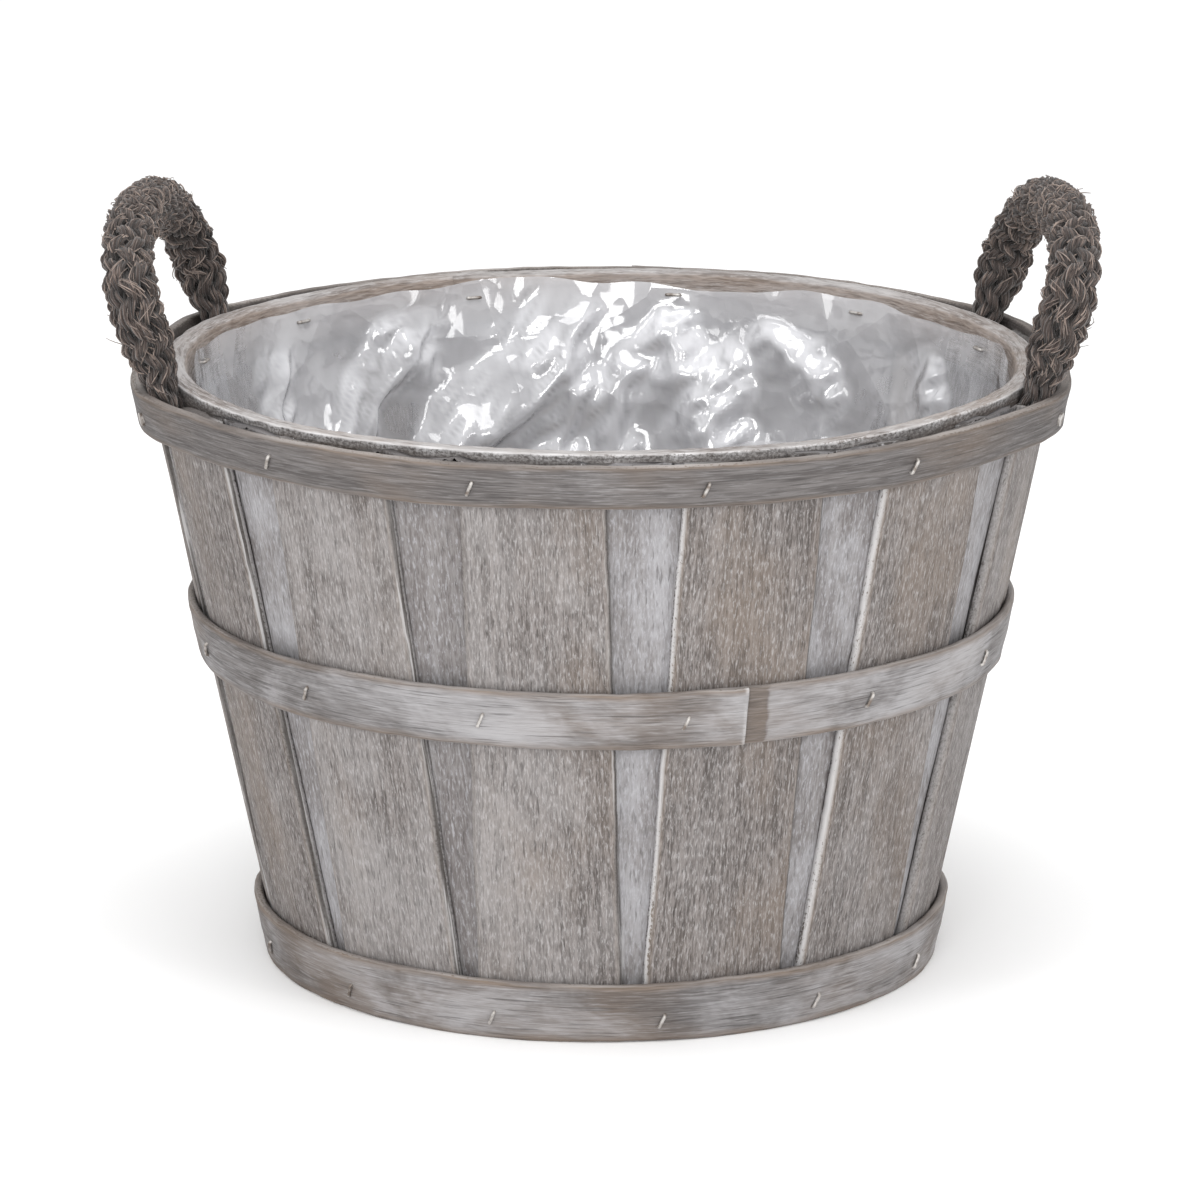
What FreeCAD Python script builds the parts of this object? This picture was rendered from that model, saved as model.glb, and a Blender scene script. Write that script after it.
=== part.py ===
# Planter basket: two layers of split-wood staves between bent wood hoops, with a round
# base board, a film liner and two thick rope handles tucked under the rim hoop.
# Lengths are in millimetres and angles in degrees. +Z is up, the front is -Y, and the
# handles are at the sides. The origin is on the floor, at the centre of the foot.
import FreeCAD
import Part
import math
import os
import random
from FreeCAD import Vector

# The staves: an outer layer with gaps, and an inner layer that covers the gaps.
wall_height = 193.0
foot_radius = 105.9
wall_angle = 11.7
stave_count = 13
stave_width = 45.0
stave_thickness = 3.0
layer_gap = 0.2
first_stave_angle = 19.2

# The hoops: bent strips, each closed by a slanted joint. The rim hoop stands a little
# above the staves, and the inner hoop a little above the rim hoop.
hoop_gap = 0.2
middle_hoop_height = 100.6
middle_hoop_width = 19.0
middle_hoop_thickness = 2.8
foot_hoop_width = 20.0
foot_hoop_thickness = 3.2
rim_hoop_rise = 1.4
rim_hoop_width = 14.0
rim_hoop_thickness = 4.0
inner_hoop_rise = 2.0
inner_hoop_width = 15.4
inner_hoop_thickness = 6.6
inner_hoop_bevel = 2.0
joint_slit = 0.3
joint_slant = 20.0
middle_joint_angle = 19.6
foot_joint_angle = 152.0
rim_joint_angle = 176.0
inner_joint_angle = -158.0

# The base board lies a little above the floor, inside the staves.
board_height = 8.0
board_thickness = 6.0
board_gap = 0.25

# The liner: a film bag on the board that hangs from its staples in the inner hoop.
liner_thickness = 0.5
liner_gap = 0.3
liner_hem_drop = 5.6
fold_root_share = 0.4
fold_reach_share = 1.5
fold_wall_share = 1.4
# The liner's folds: big ones at the back and rows of small ones round the wall, drawn from a seed.
big_fold_angles = [176.0, 208.0, 160.0]
big_fold_heights = [112.0, 128.0, 132.0]
big_fold_half_widths = [17.0, 19.0, 18.0]
big_fold_rises = [48.0, 34.0, 33.0]
big_fold_drops = [62.0, 42.0, 45.0]
big_fold_depths = [10.5, 9.5, 9.5]
big_fold_slants = [5.0, -8.0, 7.0]
big_fold_clear_angle = 11.0
big_fold_clear_height = 45.0
fold_seed = 12
fold_row_heights = [56.0, 104.0, 145.0]
fold_row_counts = [15, 16, 16]
fold_row_shift_shares = [0.0, 0.5, 0.0]
fold_wander_share = 0.25
fold_left_out_share = 0.12
fold_height_wander = 9.0
fold_half_width_range = [13.0, 21.0]
fold_rise_range = [22.0, 36.0]
fold_drop_range = [22.0, 38.0]
fold_depth_range = [4.5, 8.5]
fold_slant_range = [-9.0, 9.0]
fold_ceiling = 174.0
fold_floor = 20.0
fold_step = 1.0
fold_depth_step = 0.1

# The wire staples that hold the hoops, the staves, the board and the liner.
staple_wire = 1.1
staple_crown = 4.6
staple_bend = 0.7
staple_spin = 66.0
staple_offset = -17.5
rim_staple_leg = 10.0
middle_staple_leg = 8.4
foot_staple_leg = 14.4
liner_staple_leg = 4.6
liner_staple_count = 12
hole_clearance = 0.05

# The rope handles: a bent loop that swings, and four ends flattened under the rim hoop.
rope_diameter = 18.6
handle_angle = 95.0
handle_lean_angle = 18.0
pocket_depth = 3.0
pocket_round = 30.0
tuck_width = 22.0
tuck_gap = 0.3
tuck_rise = 0.4
tuck_floor = 1.5
nail_head = 4.4
nail_head_height = 0.8
nail_shank = 1.7
nail_length = 16.0

# The rope loop's route, from the front foot to the rear foot: along the line between
# the feet, and up from the rim along the handle's lean.
loop_route = [
    (-57.0, 10.6), (-59.5, 25.0), (-53.0, 37.5), (-36.0, 46.5), (-10.0, 49.5),
    (16.0, 48.5), (39.0, 42.5), (53.5, 32.0), (58.0, 21.0), (57.0, 10.6),
]
arc_share = 0.45

overrun = 10.0
side_angle = 90.0
full_turn = 360.0
origin = Vector(0, 0, 0)
up = Vector(0, 0, 1)
lean = math.radians(wall_angle)
handle_lean = math.radians(handle_lean_angle)
pitch_angle = full_turn / stave_count
rim_top = wall_height + rim_hoop_rise
rim_hoop_height = rim_top - rim_hoop_width
inner_hoop_top = rim_top + inner_hoop_rise
inner_hoop_height = inner_hoop_top - inner_hoop_width
inner_face = -(2 * stave_thickness + layer_gap)
pocket_face = hoop_gap + pocket_depth
pocket_back = inner_face - hoop_gap
pocket_middle = (pocket_face + pocket_back) / 2
nodes = {}


def wall_radius(z, depth=0):
    """Radius at height z of the wall's outer face, moved out by depth across the wall."""
    return foot_radius + z * math.tan(lean) + depth / math.cos(lean)


def turned(shape, angle):
    """The shape, made on the +X side, turned to an angle counted from the front."""
    copy = shape.copy()
    copy.rotate(origin, up, angle - side_angle)
    return copy


def band(depth_in, depth_out, z_low, z_high):
    """A conical ring that follows the wall between two depths and two heights."""
    corners = [
        Vector(wall_radius(z_low, depth_in), 0, z_low),
        Vector(wall_radius(z_low, depth_out), 0, z_low),
        Vector(wall_radius(z_high, depth_out), 0, z_high),
        Vector(wall_radius(z_high, depth_in), 0, z_high),
    ]
    face = Part.Face(Part.makePolygon(corners + corners[:1]))
    return face.revolve(origin, up, full_turn)


def on_wall(shape, angle, z, depth, spin=0):
    """Set a fastener on the wall. Its X points out of the wall and its Z up along it."""
    out = Vector(math.cos(lean), 0, -math.sin(lean))
    along = Vector(math.sin(lean), 0, math.cos(lean))
    place = Vector(wall_radius(z), 0, z) + out * depth
    axes = FreeCAD.Matrix(
        out.x, 0, along.x, place.x,
        0, 1, 0, place.y,
        out.z, 0, along.z, place.z,
        0, 0, 0, 1,
    )
    copy = shape.copy()
    copy.rotate(origin, Vector(1, 0, 0), spin)
    copy.Placement = FreeCAD.Placement(axes).multiply(copy.Placement)
    return turned(copy, angle)


def closed_by_joint(hoop, angle, radius, thickness, z_low, z_high):
    """Cut the slanted joint where the two ends of a bent strip meet."""
    length = 2 * (thickness + overrun) / math.sin(math.radians(joint_slant))
    height = z_high - z_low + 2 * overrun
    slit = Part.makeBox(length, joint_slit, height)
    slit.translate(Vector(-length / 2, -joint_slit / 2, z_low - overrun))
    slit.rotate(origin, up, side_angle - joint_slant)
    slit.translate(Vector(radius, 0, 0))
    return hoop.cut(turned(slit, angle))


# The staves are parallel-sided strips, cut from two conical layers.
def stave(layer, angle):
    plank = Part.makeBox(foot_radius + wall_height, stave_width, wall_height + 2 * overrun)
    plank.translate(Vector(0, -stave_width / 2, -overrun))
    return layer.common(turned(plank, angle))


outer_layer = band(-stave_thickness, 0, 0, wall_height)
inner_layer = band(inner_face, -stave_thickness - layer_gap, 0, wall_height)
outer_angles = [first_stave_angle + pitch_angle * i for i in range(stave_count)]
inner_angles = [angle + pitch_angle / 2 for angle in outer_angles]
outer_names = ["outer_stave_%02d" % (i + 1) for i in range(stave_count)]
inner_names = ["inner_stave_%02d" % (i + 1) for i in range(stave_count)]
for name, angle in zip(outer_names, outer_angles):
    nodes[name] = stave(outer_layer, angle)
for name, angle in zip(inner_names, inner_angles):
    nodes[name] = stave(inner_layer, angle)


# The middle and foot hoops lie flat on the outer staves.
def plain_hoop(z_low, width, thickness, joint_angle):
    hoop = band(hoop_gap, hoop_gap + thickness, z_low, z_low + width)
    middle = wall_radius(z_low + width / 2, hoop_gap + thickness / 2)
    return closed_by_joint(hoop, joint_angle, middle, thickness, z_low, z_low + width)


nodes["middle_hoop"] = plain_hoop(
    middle_hoop_height, middle_hoop_width, middle_hoop_thickness, middle_joint_angle)
nodes["foot_hoop"] = plain_hoop(0, foot_hoop_width, foot_hoop_thickness, foot_joint_angle)

# The rim hoop lies on the staves and bulges out over the four rope ends.
handle_angles = {"right": handle_angle, "left": -handle_angle}
foot_distance = wall_radius(rim_top, pocket_middle)
foot_spread = math.degrees(math.asin(loop_route[-1][0] / foot_distance))
foot_angles = {}
for side, angle in handle_angles.items():
    sign = math.copysign(1, angle)
    foot_angles[side + "_front"] = angle - sign * foot_spread
    foot_angles[side + "_rear"] = angle + sign * foot_spread


def at_angle(radius, angle, z):
    turn = math.radians(angle)
    return Vector(radius * math.sin(turn), -radius * math.cos(turn), z)


def bulge_half_angle(radius, depth, round_radius):
    """How far from a rope foot the hoop leaves the round wall on a straight line."""
    return math.degrees(math.acos((radius - round_radius) / (radius + depth - round_radius)))


def bulged_outline(z, depth, round_radius):
    """The hoop's outline at a height: wall arcs, straight lines and an arc over each foot."""
    radius = wall_radius(z, depth)
    bulge = pocket_depth / math.cos(lean)
    half = bulge_half_angle(radius, bulge, round_radius)
    feet = sorted(angle % full_turn for angle in foot_angles.values())
    edges = []
    for i, foot in enumerate(feet):
        centre = at_angle(radius + bulge - round_radius, foot, z)
        before = at_angle(radius, foot - half, z)
        after = at_angle(radius, foot + half, z)
        arc_start = centre + at_angle(round_radius, foot - half, 0)
        arc_top = centre + at_angle(round_radius, foot, 0)
        arc_end = centre + at_angle(round_radius, foot + half, 0)
        following = feet[(i + 1) % len(feet)]
        gap = (following - foot) % full_turn
        wall_middle = at_angle(radius, foot + gap / 2, z)
        wall_end = at_angle(radius, foot + gap - half, z)
        edges.append(Part.LineSegment(before, arc_start).toShape())
        edges.append(Part.Arc(arc_start, arc_top, arc_end).toShape())
        edges.append(Part.LineSegment(arc_end, after).toShape())
        edges.append(Part.Arc(after, wall_middle, wall_end).toShape())
    return Part.Wire(edges)


def bulged_solid(depth, round_radius, z_low, z_high):
    outlines = [bulged_outline(z, depth, round_radius) for z in (z_low, z_high)]
    return Part.makeLoft(outlines, True, True)


rim_outside = bulged_solid(
    hoop_gap + rim_hoop_thickness, pocket_round + rim_hoop_thickness, rim_hoop_height, rim_top)
rim_inside = bulged_solid(
    hoop_gap, pocket_round, rim_hoop_height - overrun, rim_top + overrun)
rim_middle = wall_radius(rim_hoop_height + rim_hoop_width / 2, hoop_gap + rim_hoop_thickness / 2)
nodes["rim_outer_hoop"] = closed_by_joint(
    rim_outside.cut(rim_inside), rim_joint_angle, rim_middle, rim_hoop_thickness,
    rim_hoop_height, rim_top)


# The inner hoop backs the staves' top ends, and its top edges are worn off.
def bevelled_hoop():
    z_low = inner_hoop_height
    z_top = inner_hoop_top
    z_side = z_top - inner_hoop_bevel
    depth_out = inner_face - hoop_gap
    depth_in = depth_out - inner_hoop_thickness
    outline = [
        (z_low, depth_in), (z_low, depth_out), (z_side, depth_out),
        (z_top, depth_out - inner_hoop_bevel), (z_top, depth_in + inner_hoop_bevel), (z_side, depth_in)]
    points = [Vector(wall_radius(z, depth), 0, z) for z, depth in outline]
    face = Part.Face(Part.makePolygon(points + points[:1]))
    hoop = face.revolve(origin, up, full_turn)
    middle = wall_radius((z_low + z_top) / 2, (depth_in + depth_out) / 2)
    return closed_by_joint(hoop, inner_joint_angle, middle, inner_hoop_thickness, z_low, z_top)


nodes["rim_inner_hoop"] = bevelled_hoop()

# The base board's edge follows the inner staves.
board_top = board_height + board_thickness
board_edge = inner_face - board_gap
nodes["base_board"] = Part.makeCone(
    wall_radius(board_height, board_edge), wall_radius(board_top, board_edge),
    board_thickness, Vector(0, 0, board_height))


# The liner is one thin bag with its hem on the inner hoop.
liner_wall_depth = inner_face - liner_gap
liner_hem_depth = inner_face - hoop_gap - inner_hoop_thickness - liner_gap
liner_drawn_height = inner_hoop_height - liner_gap
liner_hem_height = inner_hoop_top - liner_hem_drop


def film_radius(z):
    low = wall_radius(board_top, liner_wall_depth)
    high = wall_radius(liner_drawn_height, liner_hem_depth)
    return low + (high - low) * (z - board_top) / (liner_drawn_height - board_top)


# One fold stands in from the film as a low pyramid. Moved back by its wall, it is the hollow behind the fold.
def stepped(size, step):
    return round(size / step) * step


def beside_big_fold(turn, height):
    """Whether a place lies so near a big fold that a small one would merge with it."""
    for big_turn, big_height in zip(big_fold_angles, big_fold_heights):
        apart = (turn - big_turn + full_turn / 2) % full_turn - full_turn / 2
        if abs(apart) < big_fold_clear_angle and abs(height - big_height) < big_fold_clear_height:
            return True
    return False


def small_folds():
    """Rows of folds round the wall: the seed moves, sizes and slants each one, and leaves some out."""
    draw = random.Random(fold_seed)
    folds = []
    for row_height, count, shift_share in zip(fold_row_heights, fold_row_counts, fold_row_shift_shares):
        for place in range(count):
            wander = draw.uniform(-fold_wander_share, fold_wander_share)
            turn = (place + shift_share + wander) * full_turn / count
            height = row_height + draw.uniform(-fold_height_wander, fold_height_wander)
            if beside_big_fold(turn, height) or draw.random() < fold_left_out_share:
                continue
            half_width = draw.uniform(*fold_half_width_range)
            rise = min(fold_ceiling - height, draw.uniform(*fold_rise_range))
            drop = min(height - fold_floor, draw.uniform(*fold_drop_range))
            depth = stepped(draw.uniform(*fold_depth_range), fold_depth_step)
            slant = round(draw.uniform(*fold_slant_range))
            sizes = [stepped(size, fold_step) for size in (height, half_width, rise, drop)]
            folds.append((round(turn), *sizes, depth, slant))
    return folds


def film_fold(angle, height, half_width, reach_up, reach_down, depth, slant, back=0):
    def on_film(turn, z, inward):
        radius = film_radius(z) - inward + back
        return Vector(radius * math.sin(turn), -radius * math.cos(turn), z)

    middle = math.radians(angle)
    spread = half_width / film_radius(height)
    tip_turn = math.radians(slant)
    crest = on_film(middle, height, depth)
    feet = [
        on_film(middle + tip_turn, height + reach_up, 0),
        on_film(middle + spread, height, 0),
        on_film(middle - tip_turn, height - reach_down, 0),
        on_film(middle - spread, height, 0)]
    top, right, bottom, left = [crest + (foot - crest) * fold_reach_share for foot in feet]
    corners = [
        (crest, left, top), (crest, top, right), (crest, right, bottom), (crest, bottom, left),
        (left, bottom, top), (right, top, bottom)]
    return Part.Solid(Part.Shell([Part.Face(Part.makePolygon([a, b, c, a])) for a, b, c in corners]))


def film_bag():
    outside = [
        (board_top, liner_wall_depth),
        (liner_drawn_height, liner_hem_depth),
        (liner_hem_height, liner_hem_depth)]
    points = [Vector(0, 0, board_top)]
    points += [Vector(wall_radius(z, depth), 0, z) for z, depth in outside]
    for z, depth in reversed(outside):
        inner_z = z + liner_thickness if z == board_top else z
        points.append(Vector(wall_radius(inner_z, depth - liner_thickness), 0, inner_z))
    points.append(Vector(0, 0, board_top + liner_thickness))
    face = Part.Face(Part.makePolygon(points + points[:1]))
    bag = face.revolve(origin, up, full_turn)
    root = liner_thickness * fold_root_share
    inside = Part.makeCone(
        film_radius(board_top) - root, film_radius(liner_drawn_height) - root,
        liner_drawn_height - board_top, Vector(0, 0, board_top))
    folds = list(zip(
        big_fold_angles, big_fold_heights, big_fold_half_widths, big_fold_rises, big_fold_drops,
        big_fold_depths, big_fold_slants))
    folds += small_folds()
    folded = bag.fuse([film_fold(*fold).common(inside) for fold in folds])
    hollows = [film_fold(*fold, liner_thickness * fold_wall_share) for fold in folds]
    return folded.cut(hollows).removeSplitter()


nodes["liner"] = film_bag()
hem_face = liner_hem_depth - liner_thickness
hem_top = liner_hem_height


# A staple is one bent wire: a crown on the wood and two legs driven in.
def wire_staple(leg):
    half = staple_crown / 2
    crown_x = staple_bend + hole_clearance
    corner = staple_bend * (1 - math.cos(math.radians(side_angle / 2)))
    edges = []
    foot = Vector(-leg, -half, 0)
    edges.append(Part.LineSegment(foot, Vector(crown_x - staple_bend, -half, 0)).toShape())
    edges.append(Part.Arc(
        Vector(crown_x - staple_bend, -half, 0),
        Vector(crown_x - corner, -half + corner, 0),
        Vector(crown_x, -half + staple_bend, 0)).toShape())
    edges.append(Part.LineSegment(
        Vector(crown_x, -half + staple_bend, 0), Vector(crown_x, half - staple_bend, 0)).toShape())
    edges.append(Part.Arc(
        Vector(crown_x, half - staple_bend, 0),
        Vector(crown_x - corner, half - corner, 0),
        Vector(crown_x - staple_bend, half, 0)).toShape())
    edges.append(Part.LineSegment(
        Vector(crown_x - staple_bend, half, 0), Vector(-leg, half, 0)).toShape())
    section = Part.Wire(Part.Circle(foot, Vector(1, 0, 0), staple_wire / 2).toShape())
    return Part.Wire(edges).makePipeShell([section], True, False)


def staple_holes(leg):
    """The two holes that the legs of a staple need."""
    radius = staple_wire / 2 + hole_clearance
    length = leg + hole_clearance + staple_wire
    start = -leg - hole_clearance
    return Part.makeCompound([
        Part.makeCylinder(radius, length, Vector(start, y, 0), Vector(1, 0, 0))
        for y in (-staple_crown / 2, staple_crown / 2)])


def staple_row(leg, places):
    """Staples and their holes at a list of angle, height, depth and spin."""
    staple = wire_staple(leg)
    holes = staple_holes(leg)
    return [on_wall(staple, *p) for p in places], [on_wall(holes, *p) for p in places]


def stapled_places(z, depth, spin):
    turn = math.degrees(math.asin(staple_offset / wall_radius(z)))
    return [(angle + turn, z, depth, spin) for angle in outer_angles]


def apart(angle, other):
    return abs((angle - other + full_turn / 2) % full_turn - full_turn / 2)


half_bulge = bulge_half_angle(
    wall_radius(rim_hoop_height, hoop_gap + rim_hoop_thickness), pocket_depth / math.cos(lean),
    pocket_round + rim_hoop_thickness)
rim_places = [
    place for place in stapled_places(
        rim_hoop_height + rim_hoop_width / 2, hoop_gap + rim_hoop_thickness, staple_spin)
    if min(apart(place[0], foot) for foot in foot_angles.values()) > half_bulge]
middle_places = stapled_places(
    middle_hoop_height + middle_hoop_width / 2, hoop_gap + middle_hoop_thickness, staple_spin)
foot_staple_height = board_height + board_thickness / 2 - foot_staple_leg * math.sin(lean)
foot_places = stapled_places(foot_staple_height, hoop_gap + foot_hoop_thickness, staple_spin)
rim_staples, rim_holes = staple_row(rim_staple_leg, rim_places)
middle_staples, middle_holes = staple_row(middle_staple_leg, middle_places)
foot_staples, foot_holes = staple_row(foot_staple_leg, foot_places)
nodes["rim_staples"] = Part.makeCompound(rim_staples)
nodes["middle_staples"] = Part.makeCompound(middle_staples)
nodes["foot_staples"] = Part.makeCompound(foot_staples)

# The liner's staples sit inside, so they face the axis: half a turn about the wall's up.
liner_staple = wire_staple(liner_staple_leg)
liner_hole = staple_holes(liner_staple_leg)
for shape in (liner_staple, liner_hole):
    shape.rotate(origin, up, full_turn / 2)
liner_staple_height = (inner_hoop_height + hem_top) / 2
liner_places = [
    (first_stave_angle + full_turn * i / liner_staple_count, liner_staple_height, hem_face, 0)
    for i in range(liner_staple_count)]
nodes["liner_staples"] = Part.makeCompound([on_wall(liner_staple, *p) for p in liner_places])
liner_holes = [on_wall(liner_hole, *p) for p in liner_places]


# The rope ends lie flat in pockets between the two rim hoops, and the staves are notched
# for them.
def tucked_end(foot, growth, rise):
    z_low = rim_hoop_height + tuck_floor - growth
    half_depth = (pocket_face - pocket_back) / 2 - tuck_gap + growth
    section = Part.Ellipse(origin, tuck_width / 2 + growth, half_depth).toShape()
    section.rotate(origin, up, side_angle)
    section.translate(Vector(wall_radius(z_low, pocket_middle), 0, z_low))
    height = rim_top + rise - z_low
    end = Part.Face(Part.Wire(section)).extrude(Vector(height * math.tan(lean), 0, height))
    return turned(end, foot)


for name, foot in foot_angles.items():
    nodes[name + "_rope_end"] = tucked_end(foot, 0, tuck_rise)
notches = [tucked_end(foot, tuck_gap / 2, overrun) for foot in foot_angles.values()]
for name in outer_names + inner_names:
    box = nodes[name].BoundBox
    near = [notch for notch in notches if box.intersect(notch.BoundBox)]
    if near:
        nodes[name] = nodes[name].cut(near)


# One nail through the hoop, the rope end and the staves at each foot.
def nail(radius_growth):
    radius = nail_shank / 2 + radius_growth
    length = nail_length + radius_growth
    return Part.makeCylinder(radius, length, Vector(-length, 0, 0), Vector(1, 0, 0))


nail_height = rim_hoop_height + rim_hoop_width / 2
nail_places = [
    (foot, nail_height, pocket_face + rim_hoop_thickness) for foot in foot_angles.values()]
headed_nail = nail(0).fuse(
    Part.makeCylinder(nail_head / 2, nail_head_height, origin, Vector(1, 0, 0)))
nodes["handle_nails"] = Part.makeCompound([on_wall(headed_nail, *p) for p in nail_places])
nail_tool = nail(hole_clearance)
nail_tool = nail_tool.fuse(nail_tool.translated(Vector(nail_head_height, 0, 0)))
nail_holes = [on_wall(nail_tool, *p) for p in nail_places]


# The swinging loop is a round rope on straight runs joined by tangent arcs.
def tangent_path(points):
    edges = []
    start = points[0]
    radii = []
    for before, corner, after in zip(points, points[1:], points[2:]):
        into = corner - before
        out = after - corner
        half_turn = into.getAngle(out) / 2
        reach = arc_share * min(into.Length, out.Length)
        radius = reach / math.tan(half_turn)
        radii.append(radius)
        into.normalize()
        out.normalize()
        arc_start = corner - into * reach
        arc_end = corner + out * reach
        inward = (out - into).normalize()
        arc_middle = corner + inward * (radius / math.cos(half_turn) - radius)
        edges.append(Part.LineSegment(start, arc_start).toShape())
        edges.append(Part.Arc(arc_start, arc_middle, arc_end).toShape())
        start = arc_end
    edges.append(Part.LineSegment(start, points[-1]).toShape())
    return Part.Wire(edges), radii


def rope_loop(angle, sign):
    """One handle's loop. Its two rounded ends are centred on the swing axis."""
    chord = foot_distance * math.cos(math.radians(foot_spread))
    points = [
        Vector(chord + rise * math.sin(handle_lean), sign * along, rim_top + rise * math.cos(handle_lean))
        for along, rise in loop_route]
    path, radii = tangent_path(points)
    first = points[1] - points[0]
    last = points[-2] - points[-1]
    section = Part.Wire(Part.Circle(points[0], first, rope_diameter / 2).toShape())
    rope = path.makePipeShell([section], True, False)
    expected = math.pi * (rope_diameter / 2) ** 2 * path.Length
    print("loop radii", [round(r, 1) for r in radii], "length", round(path.Length, 1))
    print("loop volume", round(rope.Volume), "section times length", round(expected))
    for point, axis in ((points[0], first), (points[-1], last)):
        cap = Part.makeSphere(rope_diameter / 2, point, axis * -1, 0, side_angle, full_turn)
        rope = rope.fuse(cap)
    return turned(rope.removeSplitter(), angle)


for side, angle in handle_angles.items():
    nodes[side + "_handle_rope"] = rope_loop(angle, math.copysign(1, angle))

# Fasteners pass through the wood, the rope ends and the liner in holes of their own size.
all_holes = rim_holes + middle_holes + foot_holes + liner_holes + nail_holes
pierced = [name for name in nodes if "staples" not in name and "nails" not in name]
for name in pierced:
    box = nodes[name].BoundBox
    near = [hole for hole in all_holes if box.intersect(hole.BoundBox)]
    if near and "handle" not in name:
        nodes[name] = nodes[name].cut(near)

os.makedirs("parts", exist_ok=True)
for name, shape in nodes.items():
    shape.exportStep(os.path.join("parts", name + ".step"))
    print(name, len(shape.Solids), shape.isValid(), round(shape.Volume, 1))
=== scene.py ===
import math
import random
import bpy
import numpy as np
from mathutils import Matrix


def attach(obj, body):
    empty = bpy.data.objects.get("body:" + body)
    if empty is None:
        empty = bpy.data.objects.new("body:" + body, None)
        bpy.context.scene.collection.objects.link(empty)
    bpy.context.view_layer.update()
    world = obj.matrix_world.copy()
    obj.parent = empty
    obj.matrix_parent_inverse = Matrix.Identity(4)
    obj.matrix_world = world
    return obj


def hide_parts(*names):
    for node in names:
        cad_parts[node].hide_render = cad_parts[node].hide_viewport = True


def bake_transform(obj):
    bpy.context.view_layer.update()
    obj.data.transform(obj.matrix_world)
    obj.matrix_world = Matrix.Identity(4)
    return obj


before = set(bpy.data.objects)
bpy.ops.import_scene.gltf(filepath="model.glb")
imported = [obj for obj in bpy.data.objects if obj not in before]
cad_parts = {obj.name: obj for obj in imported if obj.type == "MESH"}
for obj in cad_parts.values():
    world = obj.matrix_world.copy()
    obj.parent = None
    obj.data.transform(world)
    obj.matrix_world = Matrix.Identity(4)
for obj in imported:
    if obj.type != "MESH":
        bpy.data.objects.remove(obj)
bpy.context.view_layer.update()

# The inner staves: thirteen strips of split poplar, bent to the basket's cone.
# They stand behind the gaps of the outer layer, and only a tapering slip of each shows.
# The wood is brushed with a thin white wash that stays on the raised fibres.
FOOT_RADIUS = 0.1059
WALL_LEAN = math.radians(11.7)
WALL_HEIGHT = 0.193
STAVE_COUNT = 13
STAVE_WIDTH = 0.045
STAVE_THICKNESS = 0.003
LAYER_GAP = 0.0002
FIRST_STAVE = 19.2
STAVE_PITCH = 360 / STAVE_COUNT
ROPE_FEET = (71.77, 118.23, -71.77, -118.23)
NOTCH_HALF = 0.0118
NOTCH_DEPTH = 0.0115
NOTCH_BLUR = 0.0006
EDGE_WANDER = 0.00022
EDGE_NICKS = 0.00010
EDGE_ROUNDING = 0.00035
FACE_SET_BACK = 0.0002
# A distance too far from any gap for the painted gap shadow.
NO_SHADOW_GAP = 9.0


def wall(z, depth=0.0):
    """Radius of the wall's outer face at a height, moved out by a depth across the wall."""
    return FOOT_RADIUS + z * math.tan(WALL_LEAN) + depth / math.cos(WALL_LEAN)


def on_wall(angle, z, depth):
    """Points on the wall, by angle from the front in radians, height and depth."""
    radius = wall(z, depth)
    return np.stack([radius * np.sin(angle), -radius * np.cos(angle), z + 0 * radius], -1)


def ripple(seed, x, y):
    """A smooth unevenness between about -1 and 1, the same for the same seed."""
    waves = 5
    draw = random.Random(seed)
    total = 0 * x + 0 * y
    for _ in range(waves):
        fx = draw.uniform(0.35, 1.6)
        fy = draw.uniform(0.35, 1.6)
        total = total + np.sin(2 * np.pi * (fx * x + fy * y) + draw.uniform(0, 6.28))
    return total / waves ** 0.5 / 1.2


def smooth_step(x, low, high):
    """A soft change from 0 at low to 1 at high."""
    t = np.clip((x - low) / (high - low), 0, 1)
    return t * t * (3 - 2 * t)


def mesh_piece(name, points, faces, grain=None, marks=None, smooth=True):
    """A mesh object with a grain map in metres for each face corner and marks for each point."""
    mesh = bpy.data.meshes.new(name)
    mesh.from_pydata([tuple(p) for p in np.asarray(points).tolist()], [], faces)
    if grain is not None:
        layer = mesh.uv_layers.new(name="grain")
        layer.data.foreach_set("uv", np.asarray(grain, np.float32).ravel())
    for kind, values in (marks or {}).items():
        attribute = mesh.attributes.new(kind, "FLOAT", "POINT")
        attribute.data.foreach_set("value", np.asarray(values, np.float32).ravel())
    mesh.polygons.foreach_set("use_smooth", [smooth] * len(mesh.polygons))
    piece = bpy.data.objects.new(name, mesh)
    bpy.context.scene.collection.objects.link(piece)
    return piece


def ring_faces(count, size):
    """The faces between rings of as many points each."""
    faces = []
    for i in range(count - 1):
        for j in range(size):
            k = (j + 1) % size
            faces.append((i * size + j, i * size + k, (i + 1) * size + k, (i + 1) * size + j))
    return faces


def lofted(name, rings, along, around, marks):
    """A closed strip through rings of points, with its grain map along its length."""
    count, size = rings.shape[:2]
    faces = ring_faces(count, size)
    grain = []
    for i in range(count - 1):
        for j in range(size):
            grain += [
                (around[j], along[i]), (around[j + 1], along[i]),
                (around[j + 1], along[i + 1]), (around[j], along[i + 1])]
    first = tuple(reversed(range(size)))
    last = tuple((count - 1) * size + j for j in range(size))
    faces += [first, last]
    grain += [(around[j], along[0]) for j in first]
    grain += [(around[j], along[-1]) for j in range(size)]
    return mesh_piece(name, rings.reshape(-1, 3), faces, grain, marks)


def set_inputs(node, values):
    """Sets inputs of a node by their names."""
    for socket, value in values.items():
        node.inputs[socket].default_value = value


def new_finish(name, values):
    """A new material, its node tree, and its shader with some values set."""
    material = bpy.data.materials.new(name)
    material.use_nodes = True
    shader = material.node_tree.nodes["Principled BSDF"]
    set_inputs(shader, values)
    return material, material.node_tree, shader


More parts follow.
